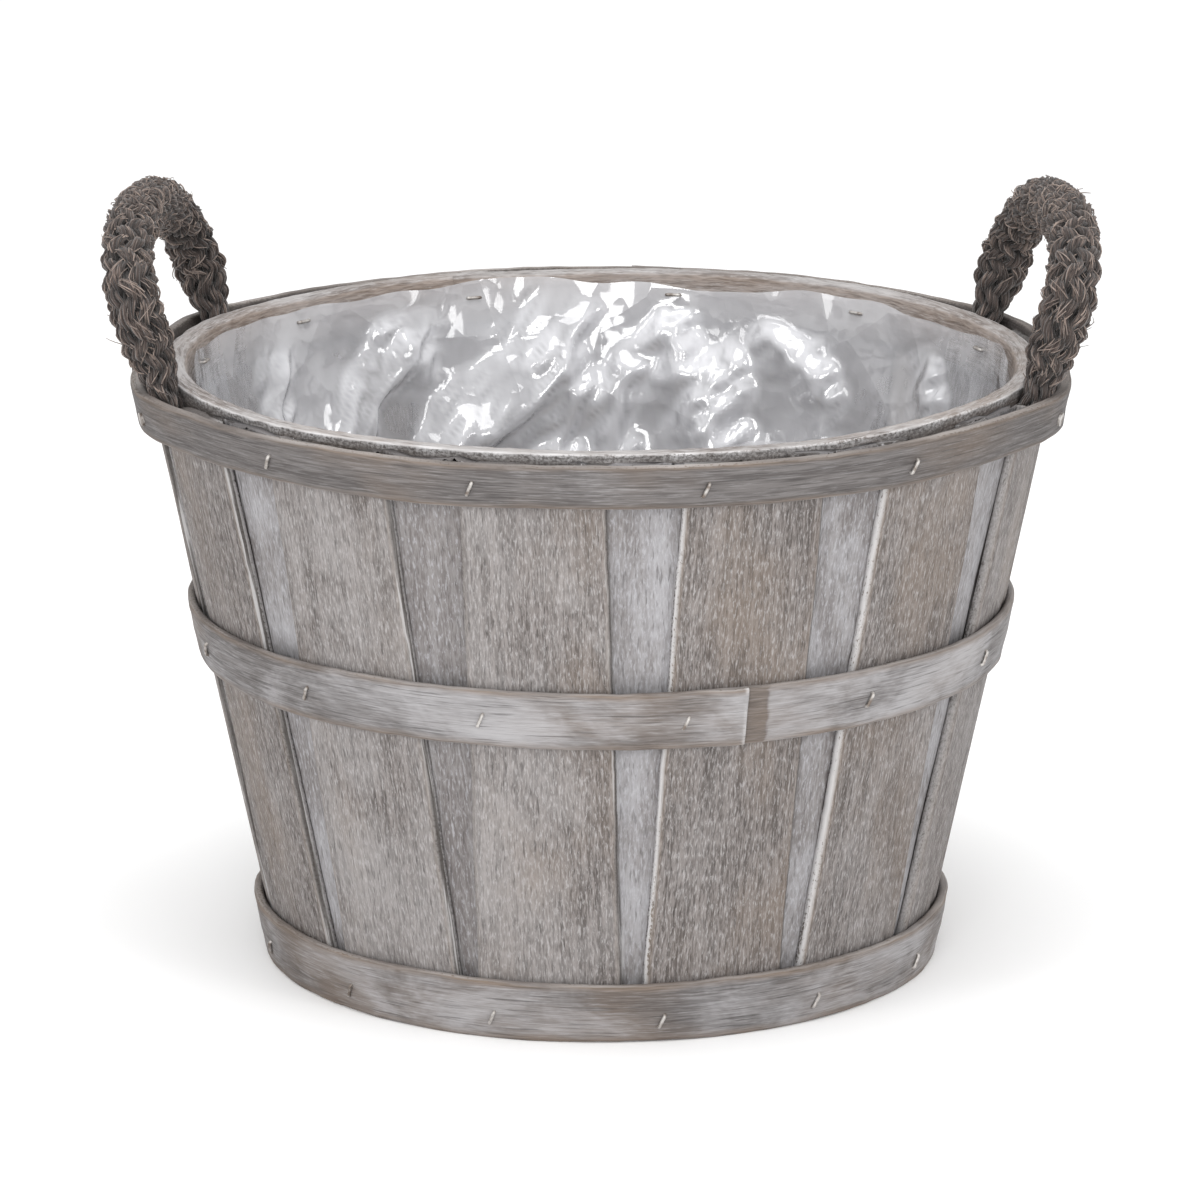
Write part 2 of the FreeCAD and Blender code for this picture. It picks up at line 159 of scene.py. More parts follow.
def streaks(tree, grain, across, lengthwise, detail, roughness, shift=0.0, warp=0.0):
    """Noise drawn out along the grain: so many cells to a metre across it and along it."""
    place = tree.nodes.new("ShaderNodeMapping")
    set_inputs(place, {"Scale": (across, lengthwise, 1), "Location": (shift, 1.7 * shift, 0)})
    noise = tree.nodes.new("ShaderNodeTexNoise")
    set_inputs(noise, {"Scale": 1, "Detail": detail, "Roughness": roughness, "Distortion": warp})
    tree.links.new(grain.outputs["UV"], place.inputs["Vector"])
    tree.links.new(place.outputs["Vector"], noise.inputs["Vector"])
    return noise.outputs["Fac"]


def bumped(tree, height, strength, distance, normal=None):
    """The surface direction with a small relief on it."""
    bump = tree.nodes.new("ShaderNodeBump")
    set_inputs(bump, {"Strength": strength, "Distance": distance})
    tree.links.new(height, bump.inputs["Height"])
    if normal is not None:
        tree.links.new(normal, bump.inputs["Normal"])
    return bump.outputs["Normal"]


def maths(tree, operation, a, b):
    """The clamped result of two numbers or two other nodes' results."""
    node = tree.nodes.new("ShaderNodeMath")
    node.operation = operation
    node.use_clamp = True
    for socket, value in zip(node.inputs, (a, b)):
        if isinstance(value, (int, float)):
            socket.default_value = value
        else:
            tree.links.new(value, socket)
    return node.outputs["Value"]


def shares(tree, a, share_a, b, share_b):
    """Two results added, each by its own share."""
    return maths(tree, "ADD", maths(tree, "MULTIPLY", a, share_a), maths(tree, "MULTIPLY", b, share_b))


def mark(tree, name):
    """A mark of the piece's points, such as how brown or how worn they are."""
    node = tree.nodes.new("ShaderNodeAttribute")
    node.attribute_name = name
    return node.outputs["Fac"]


def wood_finish(name, dark, body, bare, wash, veil, brown, rough, fleck=(1900, 250), speck=0.6):
    """Washed split wood: fine light and dark fibre flecks, brown patches, a thin white wash, and painted
    shade and painted gap shadows from the marks.
    """
    material, tree, shader = new_finish(name, {"Specular IOR Level": 0.28})
    nodes = tree.nodes
    links = tree.links
    grain = nodes.new("ShaderNodeUVMap")
    grain.uv_map = "grain"

    def ranged(value, low, high, to_low=0.0, to_high=1.0):
        node = nodes.new("ShaderNodeMapRange")
        node.interpolation_type = "SMOOTHSTEP"
        set_inputs(node, {"From Min": low, "From Max": high, "To Min": to_low, "To Max": to_high})
        links.new(value, node.inputs["Value"])
        return node.outputs["Result"]

    def mixed(factor, a, b):
        node = nodes.new("ShaderNodeMix")
        node.data_type = "RGBA"
        links.new(factor, node.inputs["Factor"])
        for socket, value in ((node.inputs["A"], a), (node.inputs["B"], b)):
            if isinstance(value, tuple):
                socket.default_value = (*value, 1)
            else:
                links.new(value, socket)
        return node.outputs["Result"]

    flecks = streaks(tree, grain, fleck[0], fleck[1], 2, 0.6, 0.0, 0.25)
    specks = streaks(tree, grain, fleck[0] * 0.8, fleck[1] * 1.25, 3, 0.7, 31.0, 0.35)
    pits = streaks(tree, grain, fleck[0] * 0.75, fleck[1] * 0.6, 2, 0.6, 57.0)
    bands = streaks(tree, grain, fleck[0] * 0.3, fleck[1] * 0.09, 3, 0.55, 11.0, 0.3)
    clouds = streaks(tree, grain, 46, 26, 4, 0.62, 3.0, 0.6)
    grains = streaks(tree, grain, 1100, 800, 2, 0.65, 19.0)
    smudges = streaks(tree, grain, 30, 14, 3, 0.55, 7.0)
    pale_share = ranged(shares(tree, flecks, 0.52, bands, 0.48), 0.40, 0.60)
    colour = mixed(pale_share, dark, body)
    patch = ranged(maths(tree, "ADD", smudges, mark(tree, "brown")), 0.46, 0.74, 0.0, brown)
    colour = mixed(patch, colour, bare)
    thin = shares(tree, clouds, 0.72, specks, 0.28)
    thin = ranged(maths(tree, "ADD", thin, mark(tree, "wash")), 0.36, 0.72, 0.0, veil)
    colour = mixed(thin, colour, wash)
    colour = mixed(ranged(specks, 0.50, 0.67, 0.0, speck), colour, wash)
    deepest = tuple(c * 0.45 for c in dark)
    colour = mixed(ranged(pits, 0.56, 0.70, 0.0, 0.5), colour, deepest)
    rubbed_dark = tuple(c * 0.7 for c in bare)
    rubbed = mixed(ranged(flecks, 0.4, 0.6), rubbed_dark, bare)
    colour = mixed(mark(tree, "worn"), colour, rubbed)
    old_paint = (0.60, 0.59, 0.59)
    flaking = ranged(shares(tree, grains, 0.5, bands, 0.5), 0.38, 0.47)
    chips = maths(tree, "MULTIPLY", mark(tree, "paint"), flaking)
    colour = mixed(chips, colour, old_paint)
    # Painted shade: darkening, broken up by the grain, on side faces, sawn tops, hoop backs and hoop
    # sides.
    painted_shade_colour = (0.05, 0.042, 0.038)
    shade_share = maths(tree, "MULTIPLY", mark(tree, "painted_shade"), ranged(grains, 0.64, 0.38, 0.4, 1.0))
    colour = mixed(shade_share, colour, painted_shade_colour)
    # Painted shadow: a dark line along the gap beside each outer stave's edge, flecked with white paint
    # chips.
    shadow_gap = mark(tree, "shadow_gap")
    painted_gap_shadow = (0.045, 0.038, 0.034)
    seam_white = (0.50, 0.49, 0.49)
    flaked = maths(tree, "MULTIPLY", ranged(shadow_gap, 0.3, 1.8, 0.6, 0.0), ranged(bands, 0.56, 0.64))
    shaded = ranged(shadow_gap, 0.3, 1.15, 0.85, 0.0)
    shaded = maths(tree, "MULTIPLY", shaded, ranged(bands, 0.62, 0.46, 0.45, 1.0))
    colour = mixed(flaked, mixed(shaded, colour, painted_gap_shadow), seam_white)
    links.new(colour, shader.inputs["Base Color"])
    links.new(ranged(specks, 0.3, 0.7, rough, rough - 0.12), shader.inputs["Roughness"])
    relief = shares(tree, flecks, 0.5, specks, 0.5)
    relief = shares(tree, relief, 0.85, grains, 0.15)
    relief = maths(tree, "SUBTRACT", relief, ranged(pits, 0.60, 0.70, 0.0, 0.35))
    links.new(bumped(tree, relief, 0.6, 0.0004), shader.inputs["Normal"])
    return material


def stave(name, angle, depth_out, seed, material, tone):
    """One split strip: uneven long edges, a slightly cupped face and a rough sawn top.

    The tone's worn, paint and painted shade each hold a share for the left and the right edge.
    """
    draw = random.Random(seed)
    half = STAVE_WIDTH / 2
    front = np.linspace(-1, 1, 41)
    front = np.sign(front) * np.abs(front) ** 0.8
    back = np.linspace(1, -1, 13)
    across = np.concatenate([front, [1.0], back, [-1.0]])
    last = len(front) - 1
    deep = np.concatenate([0 * front, [0.5], 0 * back + 1, [0.5]])
    deep[[0, last]] = 0.16
    deep[[last + 2, -2]] = 0.9
    height = np.concatenate([[0, 0.004], np.linspace(0.015, 0.985, 62), [0.992, 0.996, 1.0]])
    t, x = np.meshgrid(height, across, indexing="ij")
    left = half + EDGE_WANDER * ripple(seed + 1, 3 * t, 0)
    left = left + EDGE_NICKS * ripple(seed + 2, 23 * t, 0)
    right = half + EDGE_WANDER * ripple(seed + 3, 3 * t, 0)
    right = right + EDGE_NICKS * ripple(seed + 4, 23 * t, 0)
    offset = np.where(x < 0, x * left, x * right) + draw.uniform(-0.0006, 0.0006) * (t - 0.5)
    top = WALL_HEIGHT + 0.0009 * ripple(seed + 5, 1.3 * x, 0) + 0.0004 * ripple(seed + 6, 9 * x, 0)
    here = np.radians(angle) + offset / wall(WALL_HEIGHT, depth_out)
    for foot in ROPE_FEET:
        apart = (here - math.radians(foot) + np.pi) % (2 * np.pi) - np.pi
        near = np.abs(apart) * wall(WALL_HEIGHT, depth_out)
        top = top - NOTCH_DEPTH * (1 - smooth_step(near, NOTCH_HALF - NOTCH_BLUR, NOTCH_HALF + NOTCH_BLUR))
    z = t * top
    face = 0.00010 * ripple(seed + 7, 9 * x, 1.2 * t) + 0.0002 * ripple(seed + 8, 1.1 * x, 1.4 * t)
    face = face - EDGE_ROUNDING * smooth_step(np.abs(x), 0.955, 1.0)
    cup = draw.uniform(-0.0002, 0.0003) * (x * x)
    depth = depth_out - deep * STAVE_THICKNESS + (face + cup) * (1 - deep) - FACE_SET_BACK
    turn = np.radians(angle) + np.arcsin(np.clip(offset / wall(z, depth), -1, 1))
    rings = on_wall(turn, z, depth)
    side = (np.abs(x) > 0.999) * (deep > 0.1)
    ends = smooth_step(t, 0.985, 0.996)
    rubbed = smooth_step(np.abs(x), 0.93, 0.98) * (deep < 0.3)
    marks = {
        "brown": tone["brown"] + tone["lean"] * x + 0.04 * ripple(seed + 10, 0.5 * x, 1.1 * t),
        "wash": tone["wash"] - tone["lean"] * x + 0.03 * ripple(seed + 9, 0.6 * x, 1.3 * t),
        "worn": rubbed * np.where(x < 0, *tone["worn"]),
        "paint": side * np.where(x < 0, *tone["paint"]),
        # Painted shadow: the dark line along the gap beside an outer stave's edge.
        "shadow_gap": np.where(deep < 0.6, tone["shadow_gap"](x * half, z), NO_SHADOW_GAP),
        # Painted shade: the side faces, and the sawn top down in the rim's groove, are darkened.
        "painted_shade": np.maximum(0.5 * ends, side * np.where(x < 0, *tone["painted_shade"])),
    }
    walk = np.abs(np.diff(across)) * half + np.abs(np.diff(deep)) * STAVE_THICKNESS
    around = np.concatenate([[0], np.cumsum(walk), [np.sum(walk) + STAVE_THICKNESS / 2]])
    around = around + draw.uniform(0, 3)
    along = height * WALL_HEIGHT + draw.uniform(0, 3)
    piece = lofted(name, rings, along, around, marks)
    piece.data.materials.append(material)
    return piece


inner_wood = wood_finish(
    "inner_stave_wash", dark=(0.135, 0.121, 0.118), body=(0.215, 0.202, 0.200), bare=(0.19, 0.153, 0.128),
    wash=(0.365, 0.362, 0.378), veil=0.72, brown=0.25, rough=0.74, fleck=(1500, 230))


def beside_outer(x, z):
    """Millimetres from the gap along the edge of the outer stave over this strip, where a shadow is
    painted dark.
    """
    gap = math.radians(STAVE_PITCH / 2) - np.arcsin(STAVE_WIDTH / 2 / wall(z))
    here = np.arcsin(x / wall(z))
    return 1000 * wall(z) * np.minimum(gap + here, 2.2 * (gap - here))


PLAIN_WASH = {0: 0.0, 11: -0.16}
for i in range(STAVE_COUNT):
    draw = random.Random(700 + i)
    node = "inner_stave_%02d" % (i + 1)
    brown = draw.uniform(-0.15, 0.05)
    wash = draw.uniform(0.0, 0.1)
    # Both side faces get painted shade, and a painted gap shadow runs beside the outer staves' edges.
    tone = {
        "shadow_gap": beside_outer, "brown": brown, "wash": PLAIN_WASH.get(i, wash), "lean": 0.0,
        "worn": (0.4, 0.4), "paint": (0.0, 0.0), "painted_shade": (0.3, 0.3)}
    angle = FIRST_STAVE + STAVE_PITCH * (i + 0.5)
    depth = -STAVE_THICKNESS - LAYER_GAP
    piece = stave(node + "_strip", angle, depth, 40 * i + 5000, inner_wood, tone)
    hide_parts(node)
    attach(piece, "basket")

# The outer staves: thirteen more strips over the inner ones, with a gap between each two.
# Same split wood and wash. Some long edges took white paint, and the others are darkened as painted shade.
# Staples through the hoops hold them, and their sawn tops end in the groove of the rim.
outer_wood = wood_finish(
    "outer_stave_wash", dark=(0.078, 0.067, 0.062), body=(0.195, 0.175, 0.167), bare=(0.195, 0.154, 0.124),
    wash=(0.37, 0.355, 0.352), veil=0.40, brown=0.5, rough=0.76)
# For each strip: how brown it is, how much wash it has, and how far that leans to its left.
STAVE_TONES = {
    1: (0.04, -0.12, 0.02), 2: (0.05, -0.06, 0.0), 3: (-0.02, 0.0, 0.03), 4: (0.0, 0.03, -0.02),
    5: (0.06, -0.05, 0.02), 6: (-0.05, 0.04, 0.0), 7: (0.03, 0.0, 0.04), 8: (-0.03, 0.02, -0.03),
    9: (0.07, -0.03, 0.0), 10: (0.0, -0.01, 0.03), 11: (0.03, -0.10, -0.02), 12: (-0.04, 0.07, 0.0),
    13: (-0.02, 0.05, 0.06)}
PAINTED_EDGES = {1: 0.85, 2: 0.8, 3: 0.35, 6: 0.7, 9: 0.5}


def beside_edge(x, z):
    """Millimetres from an outer stave's own right edge, where a gap shadow is painted dark."""
    return 1000 * (STAVE_WIDTH / 2 - x) + 0.3 + 0 * z


for number, (brown, wash, lean) in STAVE_TONES.items():
    node = "outer_stave_%02d" % number
    painted = PAINTED_EDGES.get(number, 0.0)
    # Side faces without white paint get painted shade, and a painted gap shadow runs along the right edge.
    tone = {
        "shadow_gap": beside_edge, "brown": brown, "wash": wash, "lean": lean,
        "worn": (0.25 + 0.6 * painted, 0.45), "paint": (max(0.2, painted), 0.45),
        "painted_shade": (0.4 if painted < 0.4 else 0.0, 0.35)}
    angle = FIRST_STAVE + STAVE_PITCH * (number - 1)
    piece = stave(node + "_strip", angle, 0.0, 40 * number + 960, outer_wood, tone)
    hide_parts(node)
    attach(piece, "basket")

# The base board: a round of plain sawn wood inside the foot of the staves.
# It is not washed. Staples through the foot hoop are driven into its edge.
BOARD_HEIGHT = 0.008
BOARD_THICKNESS = 0.006
BOARD_EDGE = -0.0066
BOARD_BEVEL = 0.0006
board_wood = wood_finish(
    "board_sawn", dark=(0.27, 0.20, 0.14), body=(0.42, 0.33, 0.24), bare=(0.46, 0.35, 0.24),
    wash=(0.52, 0.45, 0.36), veil=0.3, brown=0.6, rough=0.8, fleck=(900, 60))


def sawn_round(name):
    """A disc with a bevelled edge, its grain running along Y."""
    low = BOARD_HEIGHT
    high = BOARD_HEIGHT + BOARD_THICKNESS
    edge = wall(low, BOARD_EDGE)
    edge_top = wall(high, BOARD_EDGE)
    profile = [(edge * s, low) for s in (0.25, 0.5, 0.75, 0.97)]
    profile += [(edge - BOARD_BEVEL, low), (edge, low + BOARD_BEVEL)]
    profile += [(edge_top, high - BOARD_BEVEL), (edge_top - BOARD_BEVEL, high)]
    profile += [(edge_top * s, high) for s in (0.97, 0.75, 0.5, 0.25)]
    turns = np.linspace(0, 2 * np.pi, 97)[:-1]
    points = [(0, 0, low)]
    points += [(r * math.cos(a), r * math.sin(a), z) for r, z in profile for a in turns]
    points += [(0, 0, high)]
    n = len(turns)
    faces = [(0, 1 + (j + 1) % n, 1 + j) for j in range(n)]
    faces += [tuple(1 + v for v in face) for face in ring_faces(len(profile), n)]
    last = 1 + (len(profile) - 1) * n
    faces += [(last + j, last + (j + 1) % n, len(points) - 1) for j in range(n)]
    grain = [(points[v][0] + 0.4 * points[v][2], points[v][1]) for f in faces for v in f]
    plain = np.zeros(len(points))
    marks = {"shadow_gap": plain + NO_SHADOW_GAP}
    marks.update({kind: plain for kind in ("brown", "wash", "worn", "paint", "painted_shade")})
    piece = mesh_piece(name, points, faces, grain, marks, smooth=False)
    piece.data.materials.append(board_wood)
    return piece


board = sawn_round("base_board_round")
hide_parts("base_board")
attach(board, "basket")

# The foot, middle and rim hoops: sawn strips of the same wood, bent round the staves.
# Their grain runs round the basket. The ends are shaved thin and lap over each other.
# The rim hoop springs out where the four rope ends are pushed in behind it.
HOOP_GAP = 0.0002
POCKET_DEPTH = 0.003
BULGE_HALF = 15.0
HOOP_ROUNDING = 0.0011
HOOP_WANDER = 0.00025
hoop_wood = wood_finish(
    "hoop_wash", dark=(0.078, 0.070, 0.068), body=(0.138, 0.127, 0.124), bare=(0.175, 0.132, 0.102),
    wash=(0.37, 0.362, 0.368), veil=0.8, brown=0.5, rough=0.72, fleck=(1900, 75), speck=0.18)


def bulge(degrees):
    """How far the rim hoop stands off the staves near a rope foot, from 0 to 1."""
    total = 0 * degrees
    for foot in ROPE_FEET:
        apart = np.abs((degrees - foot + 180) % 360 - 180)
        total = np.maximum(total, np.cos(np.clip(apart / BULGE_HALF, 0, 1) * np.pi / 2) ** 2)
    return total


def strip_grid(degrees, outline, lap_angle, lap):
    """For each point: angle, outline out and up, share of the length, degrees from both ends."""
    turn, out = np.meshgrid(degrees, outline[:, 0], indexing="ij")
    rise = np.tile(outline[:, 1], (len(degrees), 1))
    share = (turn - lap_angle + lap) / 360
    return turn, out, rise, share, turn - (lap_angle - lap), lap_angle + 360 - turn


def grain_round(outline):
    """Distances round the outline of a strip, for its grain map."""
    steps = np.hypot(*np.diff(np.vstack([outline, outline[:1]]), axis=0).T)
    return np.concatenate([[0], np.cumsum(steps)])


def bent_strip(name, z_low, width, thickness, lap_angle, lap, seed, pocketed, tone):
    """A strip bent round the wall, its last stretch lapped over its shaved start."""
    coarse = np.linspace(lap_angle - lap, lap_angle + 360, 380)
    near_lap = np.linspace(lap_angle - 1, lap_angle + 5, 26)
    near_end = lap_angle + 360 - np.linspace(0, 2, 12)
    degrees = np.unique(np.concatenate([coarse, near_lap, near_end]))
    outline = []
    half_w = width / 2
    half_t = thickness / 2
    for side_x, side_z, start in ((1, -1, -90), (1, 1, 0), (-1, 1, 90), (-1, -1, 180)):
        for step in (0, 30, 60, 90):
            a = math.radians(start + step)
            corner_x = side_x * (half_t - HOOP_ROUNDING) + HOOP_ROUNDING * math.cos(a)
            corner_z = side_z * (half_w - HOOP_ROUNDING) + HOOP_ROUNDING * math.sin(a)
            outline.append((corner_x, corner_z))
        if (side_x, side_z) == (1, -1):
            outline += [(half_t + 0.0001, half_w * s) for s in (-0.7, -0.4, -0.1, 0.2, 0.5, 0.75)]
        if (side_x, side_z) == (-1, 1):
            outline += [(-half_t, half_w * s) for s in (0.5, 0.0, -0.5)]
    outline = np.array(outline)
    turn, out, rise, share, from_start, from_end = strip_grid(degrees, outline, lap_angle, lap)
    out = out + half_t
    shaved = 0.25 + 0.75 * smooth_step(from_start, 0, lap * 0.9)
    shaved = shaved * (0.55 + 0.45 * smooth_step(from_end, 0, lap * 0.8))
    lift = thickness * (0.25 + 0.75 * smooth_step(lap - from_end, 0, lap * 0.9))
    lift = lift * smooth_step(-from_end, -lap * 2.6, -lap * 0.85)
    edge = HOOP_WANDER * ripple(seed, 9 * share, 0)
    edge = edge + EDGE_NICKS * ripple(seed + 1, 60 * share, 0)
    edge_low = HOOP_WANDER * ripple(seed + 2, 8 * share, 0)
    edge_low = edge_low + EDGE_NICKS * ripple(seed + 3, 55 * share, 0)
    uneven = np.where(rise > 0, edge, edge_low) * (np.abs(rise) > 0.5 * half_w)
    z = z_low + half_w + rise + uneven
    face = 0.00012 * ripple(seed + 4, 30 * share, 60 * rise)
    face = face + 0.00010 * ripple(seed + 5, 14 * share, 260 * rise)
    depth = HOOP_GAP + out * shaved + lift + face * (out > thickness * 0.6)
    if pocketed:
        depth = depth + POCKET_DEPTH * bulge(turn)
    rings = on_wall(np.radians(turn), np.maximum(z, 0.0), depth)
    corner = smooth_step(np.abs(rise), half_w * 0.74, half_w * 0.96) * (out > thickness * 0.1)
    patchy = 0.5 + 0.5 * ripple(seed + 6, 16 * share, 3 * rise / half_w)
    aside = (turn + 180) % 360 - 180
    # Painted shade: the hoop's left and right sides, where it turns from the light, get less wash and are
    # darkened.
    shade = tone["left"] * smooth_step(-aside, 20, 55) + tone["right"] * smooth_step(aside, 20, 55)
    shade = shade * smooth_step(180 - np.abs(aside), 15, 70)
    ragged = turn - lap_angle + 0.45 * ripple(seed + 8, 0, 320 * rise)
    beside = smooth_step(ragged, -0.3, 0.1) * smooth_step(-ragged, -3.4, -2.6)
    end_paint = 0.55 * (1 - smooth_step(from_end, 0.1, 0.7)) * patchy
    edge_paint = 0.35 * smooth_step(np.abs(rise), half_w * 0.95, half_w * 0.99) * patchy
    marks = {
        "brown": np.full(turn.shape, tone["brown"]),
        "wash": tone["wash"] - 0.3 * beside + 0.06 * ripple(seed + 7, 5 * share, 0) - shade,
        "worn": np.clip(np.maximum(corner * (0.35 + 0.65 * patchy) * tone["worn"], 0.3 * beside), 0, 1),
        "paint": end_paint + edge_paint,
        "shadow_gap": NO_SHADOW_GAP + 0 * turn,
        # Painted shade: the back face against the staves is darkened, and the sides as well.
        "painted_shade": np.where(out < thickness * 0.2, 0.8, np.clip(shade, 0, 1)),
    }
    draw = random.Random(seed)
    around = grain_round(outline) + draw.uniform(0, 3)
    along = np.radians(degrees) * wall(z_low + half_w) + draw.uniform(0, 3)
    piece = lofted(name, rings, along, around, marks)
    piece.data.materials.append(hoop_wood)
    return piece


# For each hoop: lower edge, width, thickness, angle and length of its lap, seed, and rope pockets or not.
HOOPS = {
    "foot_hoop": (0.0, 0.020, 0.0032, 152.0, 7.0, 61, False),
    "middle_hoop": (0.1006, 0.019, 0.0028, 19.6, 6.5, 71, False),
    "rim_outer_hoop": (0.1804, 0.014, 0.0040, 176.0, 7.0, 81, True),
}
# For each hoop: how brown, how much wash and wear, and the painted shade on its left and right sides.
HOOP_TONES = {
    "foot_hoop": {"brown": 0.08, "wash": 0.0, "worn": 1.0, "left": 0.03, "right": -0.02},
    "middle_hoop": {"brown": -0.02, "wash": 0.05, "worn": 0.9, "left": 0.10, "right": -0.02},
    "rim_outer_hoop": {"brown": 0.0, "wash": -0.18, "worn": 0.9, "left": 0.20, "right": 0.22},
}
for node, sizes in HOOPS.items():
    piece = bent_strip(node + "_strip", *sizes, HOOP_TONES[node])
    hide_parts(node)
    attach(piece, "basket")

# The inner rim hoop: a thicker strip inside the staves, its top rubbed round and pale.
# It clamps the stave tops against the rim hoop, and the film liner is stapled to it.
INNER_RISE = 0.1964
INNER_WIDTH = 0.0154
INNER_THICKNESS = 0.0066
INNER_DEPTH = -0.0064
pale_wood = wood_finish(
    "inner_hoop_rubbed", dark=(0.150, 0.130, 0.121), body=(0.320, 0.295, 0.284), bare=(0.21, 0.155, 0.118),
    wash=(0.46, 0.45, 0.45), veil=0.6, brown=0.4, rough=0.75, fleck=(1700, 130), speck=0.5)


def inner_ring(name):
    """A thick strip bent round inside the staves, its ends shaved to lap in its thickness."""
    lap_angle = -158.0
    lap = 6.0
    seed = 91
    tight = 0.0009
    rubbed = 0.0016
    degrees = np.linspace(lap_angle - lap, lap_angle + 360, 360)
    half = INNER_THICKNESS / 2
    outline = [(half, -INNER_WIDTH), (half, -0.009), (half, -0.0034)]
    for a in np.linspace(0, math.pi / 2, 5):
        outline.append((half - tight + tight * math.cos(a), -tight + tight * math.sin(a)))
    outline += [(s * half, 0.0001) for s in (0.45, 0.15, -0.15, -0.4)]
    for a in np.linspace(math.pi / 2, 0, 5):
        outline.append((-half + rubbed - rubbed * math.cos(a), -rubbed + rubbed * math.sin(a)))
    outline += [(-half, -0.0034), (-half, -0.009), (-half, -INNER_WIDTH)]
    outline = np.array(outline)
    turn, out, rise, share, from_start, from_end = strip_grid(degrees, outline, lap_angle, lap)
    start_share = 0.12 + 0.88 * smooth_step(from_start, 0, lap)
    end_share = 0.12 + 0.88 * smooth_step(from_end, 0, lap)
    thin = start_share * end_share
    shift = half * (1 - start_share) - half * (1 - end_share)
    top = 0.0004 * ripple(seed, 7 * share, 0) + 0.00018 * ripple(seed + 1, 70 * share, 900 * out)
    depth = INNER_DEPTH - half + out * thin + shift + 0.00015 * ripple(seed + 2, 40 * share, 300 * rise)
    z = INNER_RISE - 0.0004 + rise + top * (rise > -0.006)
    rings = on_wall(np.radians(turn), z, depth)
    crown = smooth_step(rise, -0.003, -0.0012)
    chipped = 0.5 + 0.5 * ripple(seed + 4, 45 * share, 0)
    outer_edge = smooth_step(out, half * 0.72, half * 0.95) * smooth_step(rise, -0.0032, -0.0012)
    marks = {
        "brown": np.full(turn.shape, 0.02),
        "wash": -0.08 + 0.10 * crown + 0.05 * ripple(seed + 3, 9 * share, 0),
        "worn": smooth_step(-out, half * 0.8, half) * smooth_step(rise, -0.006, -0.0015) * 0.6,
        "paint": outer_edge * (0.35 + 0.65 * chipped),
        "shadow_gap": NO_SHADOW_GAP + 0 * turn,
        # Painted shade: the outer face just below the top, down in the groove, is darkened.
        "painted_shade": 0.75 * smooth_step(out, half * 0.86, half * 0.98) * smooth_step(-rise, 0.0002, 0.0008),
    }
    around = grain_round(outline) + 1.7
    along = np.radians(degrees) * wall(INNER_RISE, INNER_DEPTH) + 0.9
    piece = lofted(name, rings, along, around, marks)
    piece.data.materials.append(pale_wood)
    return piece


ring = inner_ring("rim_inner_hoop_strip")
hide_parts("rim_inner_hoop")
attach(ring, "basket")

# The wire staples and the nails: dull galvanised wire with a little wash and rust on it.
# The staples hold hoops, staves, board and film together, and a nail holds each rope end.
def wire_finish(name):
    """Dull grey wire with darker, rougher patches."""
    material, tree, shader = new_finish(name, {"Metallic": 0.7})
    nodes = tree.nodes
    links = tree.links
    place = nodes.new("ShaderNodeTexCoord")
    patches = nodes.new("ShaderNodeTexNoise")
    set_inputs(patches, {"Scale": 420, "Detail": 4})
    tones = nodes.new("ShaderNodeValToRGB")
    rusty, bright = tones.color_ramp.elements
    rusty.position = 0.35
    rusty.color = (0.17, 0.14, 0.12, 1)
    bright.position = 0.62
    bright.color = (0.50, 0.48, 0.46, 1)
    dull = nodes.new("ShaderNodeMapRange")
    set_inputs(dull, {"To Min": 0.62, "To Max": 0.38})
    links.new(place.outputs["Object"], patches.inputs["Vector"])
    links.new(patches.outputs["Fac"], tones.inputs["Fac"])
    links.new(tones.outputs["Color"], shader.inputs["Base Color"])
    links.new(patches.outputs["Fac"], dull.inputs["Value"])
    links.new(dull.outputs["Result"], shader.inputs["Roughness"])
    return material


wire = wire_finish("dull_wire")
for node in ("rim_staples", "middle_staples", "foot_staples", "liner_staples", "handle_nails"):
    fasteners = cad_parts[node]
    fasteners.data.materials.clear()
    fasteners.data.materials.append(wire)

# The liner: a round of clear film pushed into the basket, so it stands in folds and creases.
# Its uneven top is stapled to the inner rim hoop, a little below the hoop's top.
BOARD_TOP = 0.0142
FILM_HEM = 0.1930
FILM_DRAWN = 0.1800
FILM_FLOOR = 0.1018
FILM_CLEAR = 0.0003
FILM_DEPTH = -0.0135
FILM_OUTMOST = -0.0070
FILM_INMOST = 0.0220
MEAN_RADIUS = 0.122
FOLD_SEED = 12
FOLD_TOP = 0.174
FOLD_FOOT = 0.020
# For each big fold, as the solid has it: angle, height, half width, reach up and down, depth, slant.
BIG_FOLDS = [
    (176, 0.112, 0.017, 0.048, 0.062, 0.0105, 5),
    (208, 0.128, 0.019, 0.034, 0.042, 0.0095, -8),
    (160, 0.132, 0.018, 0.033, 0.045, 0.0095, 7),
]
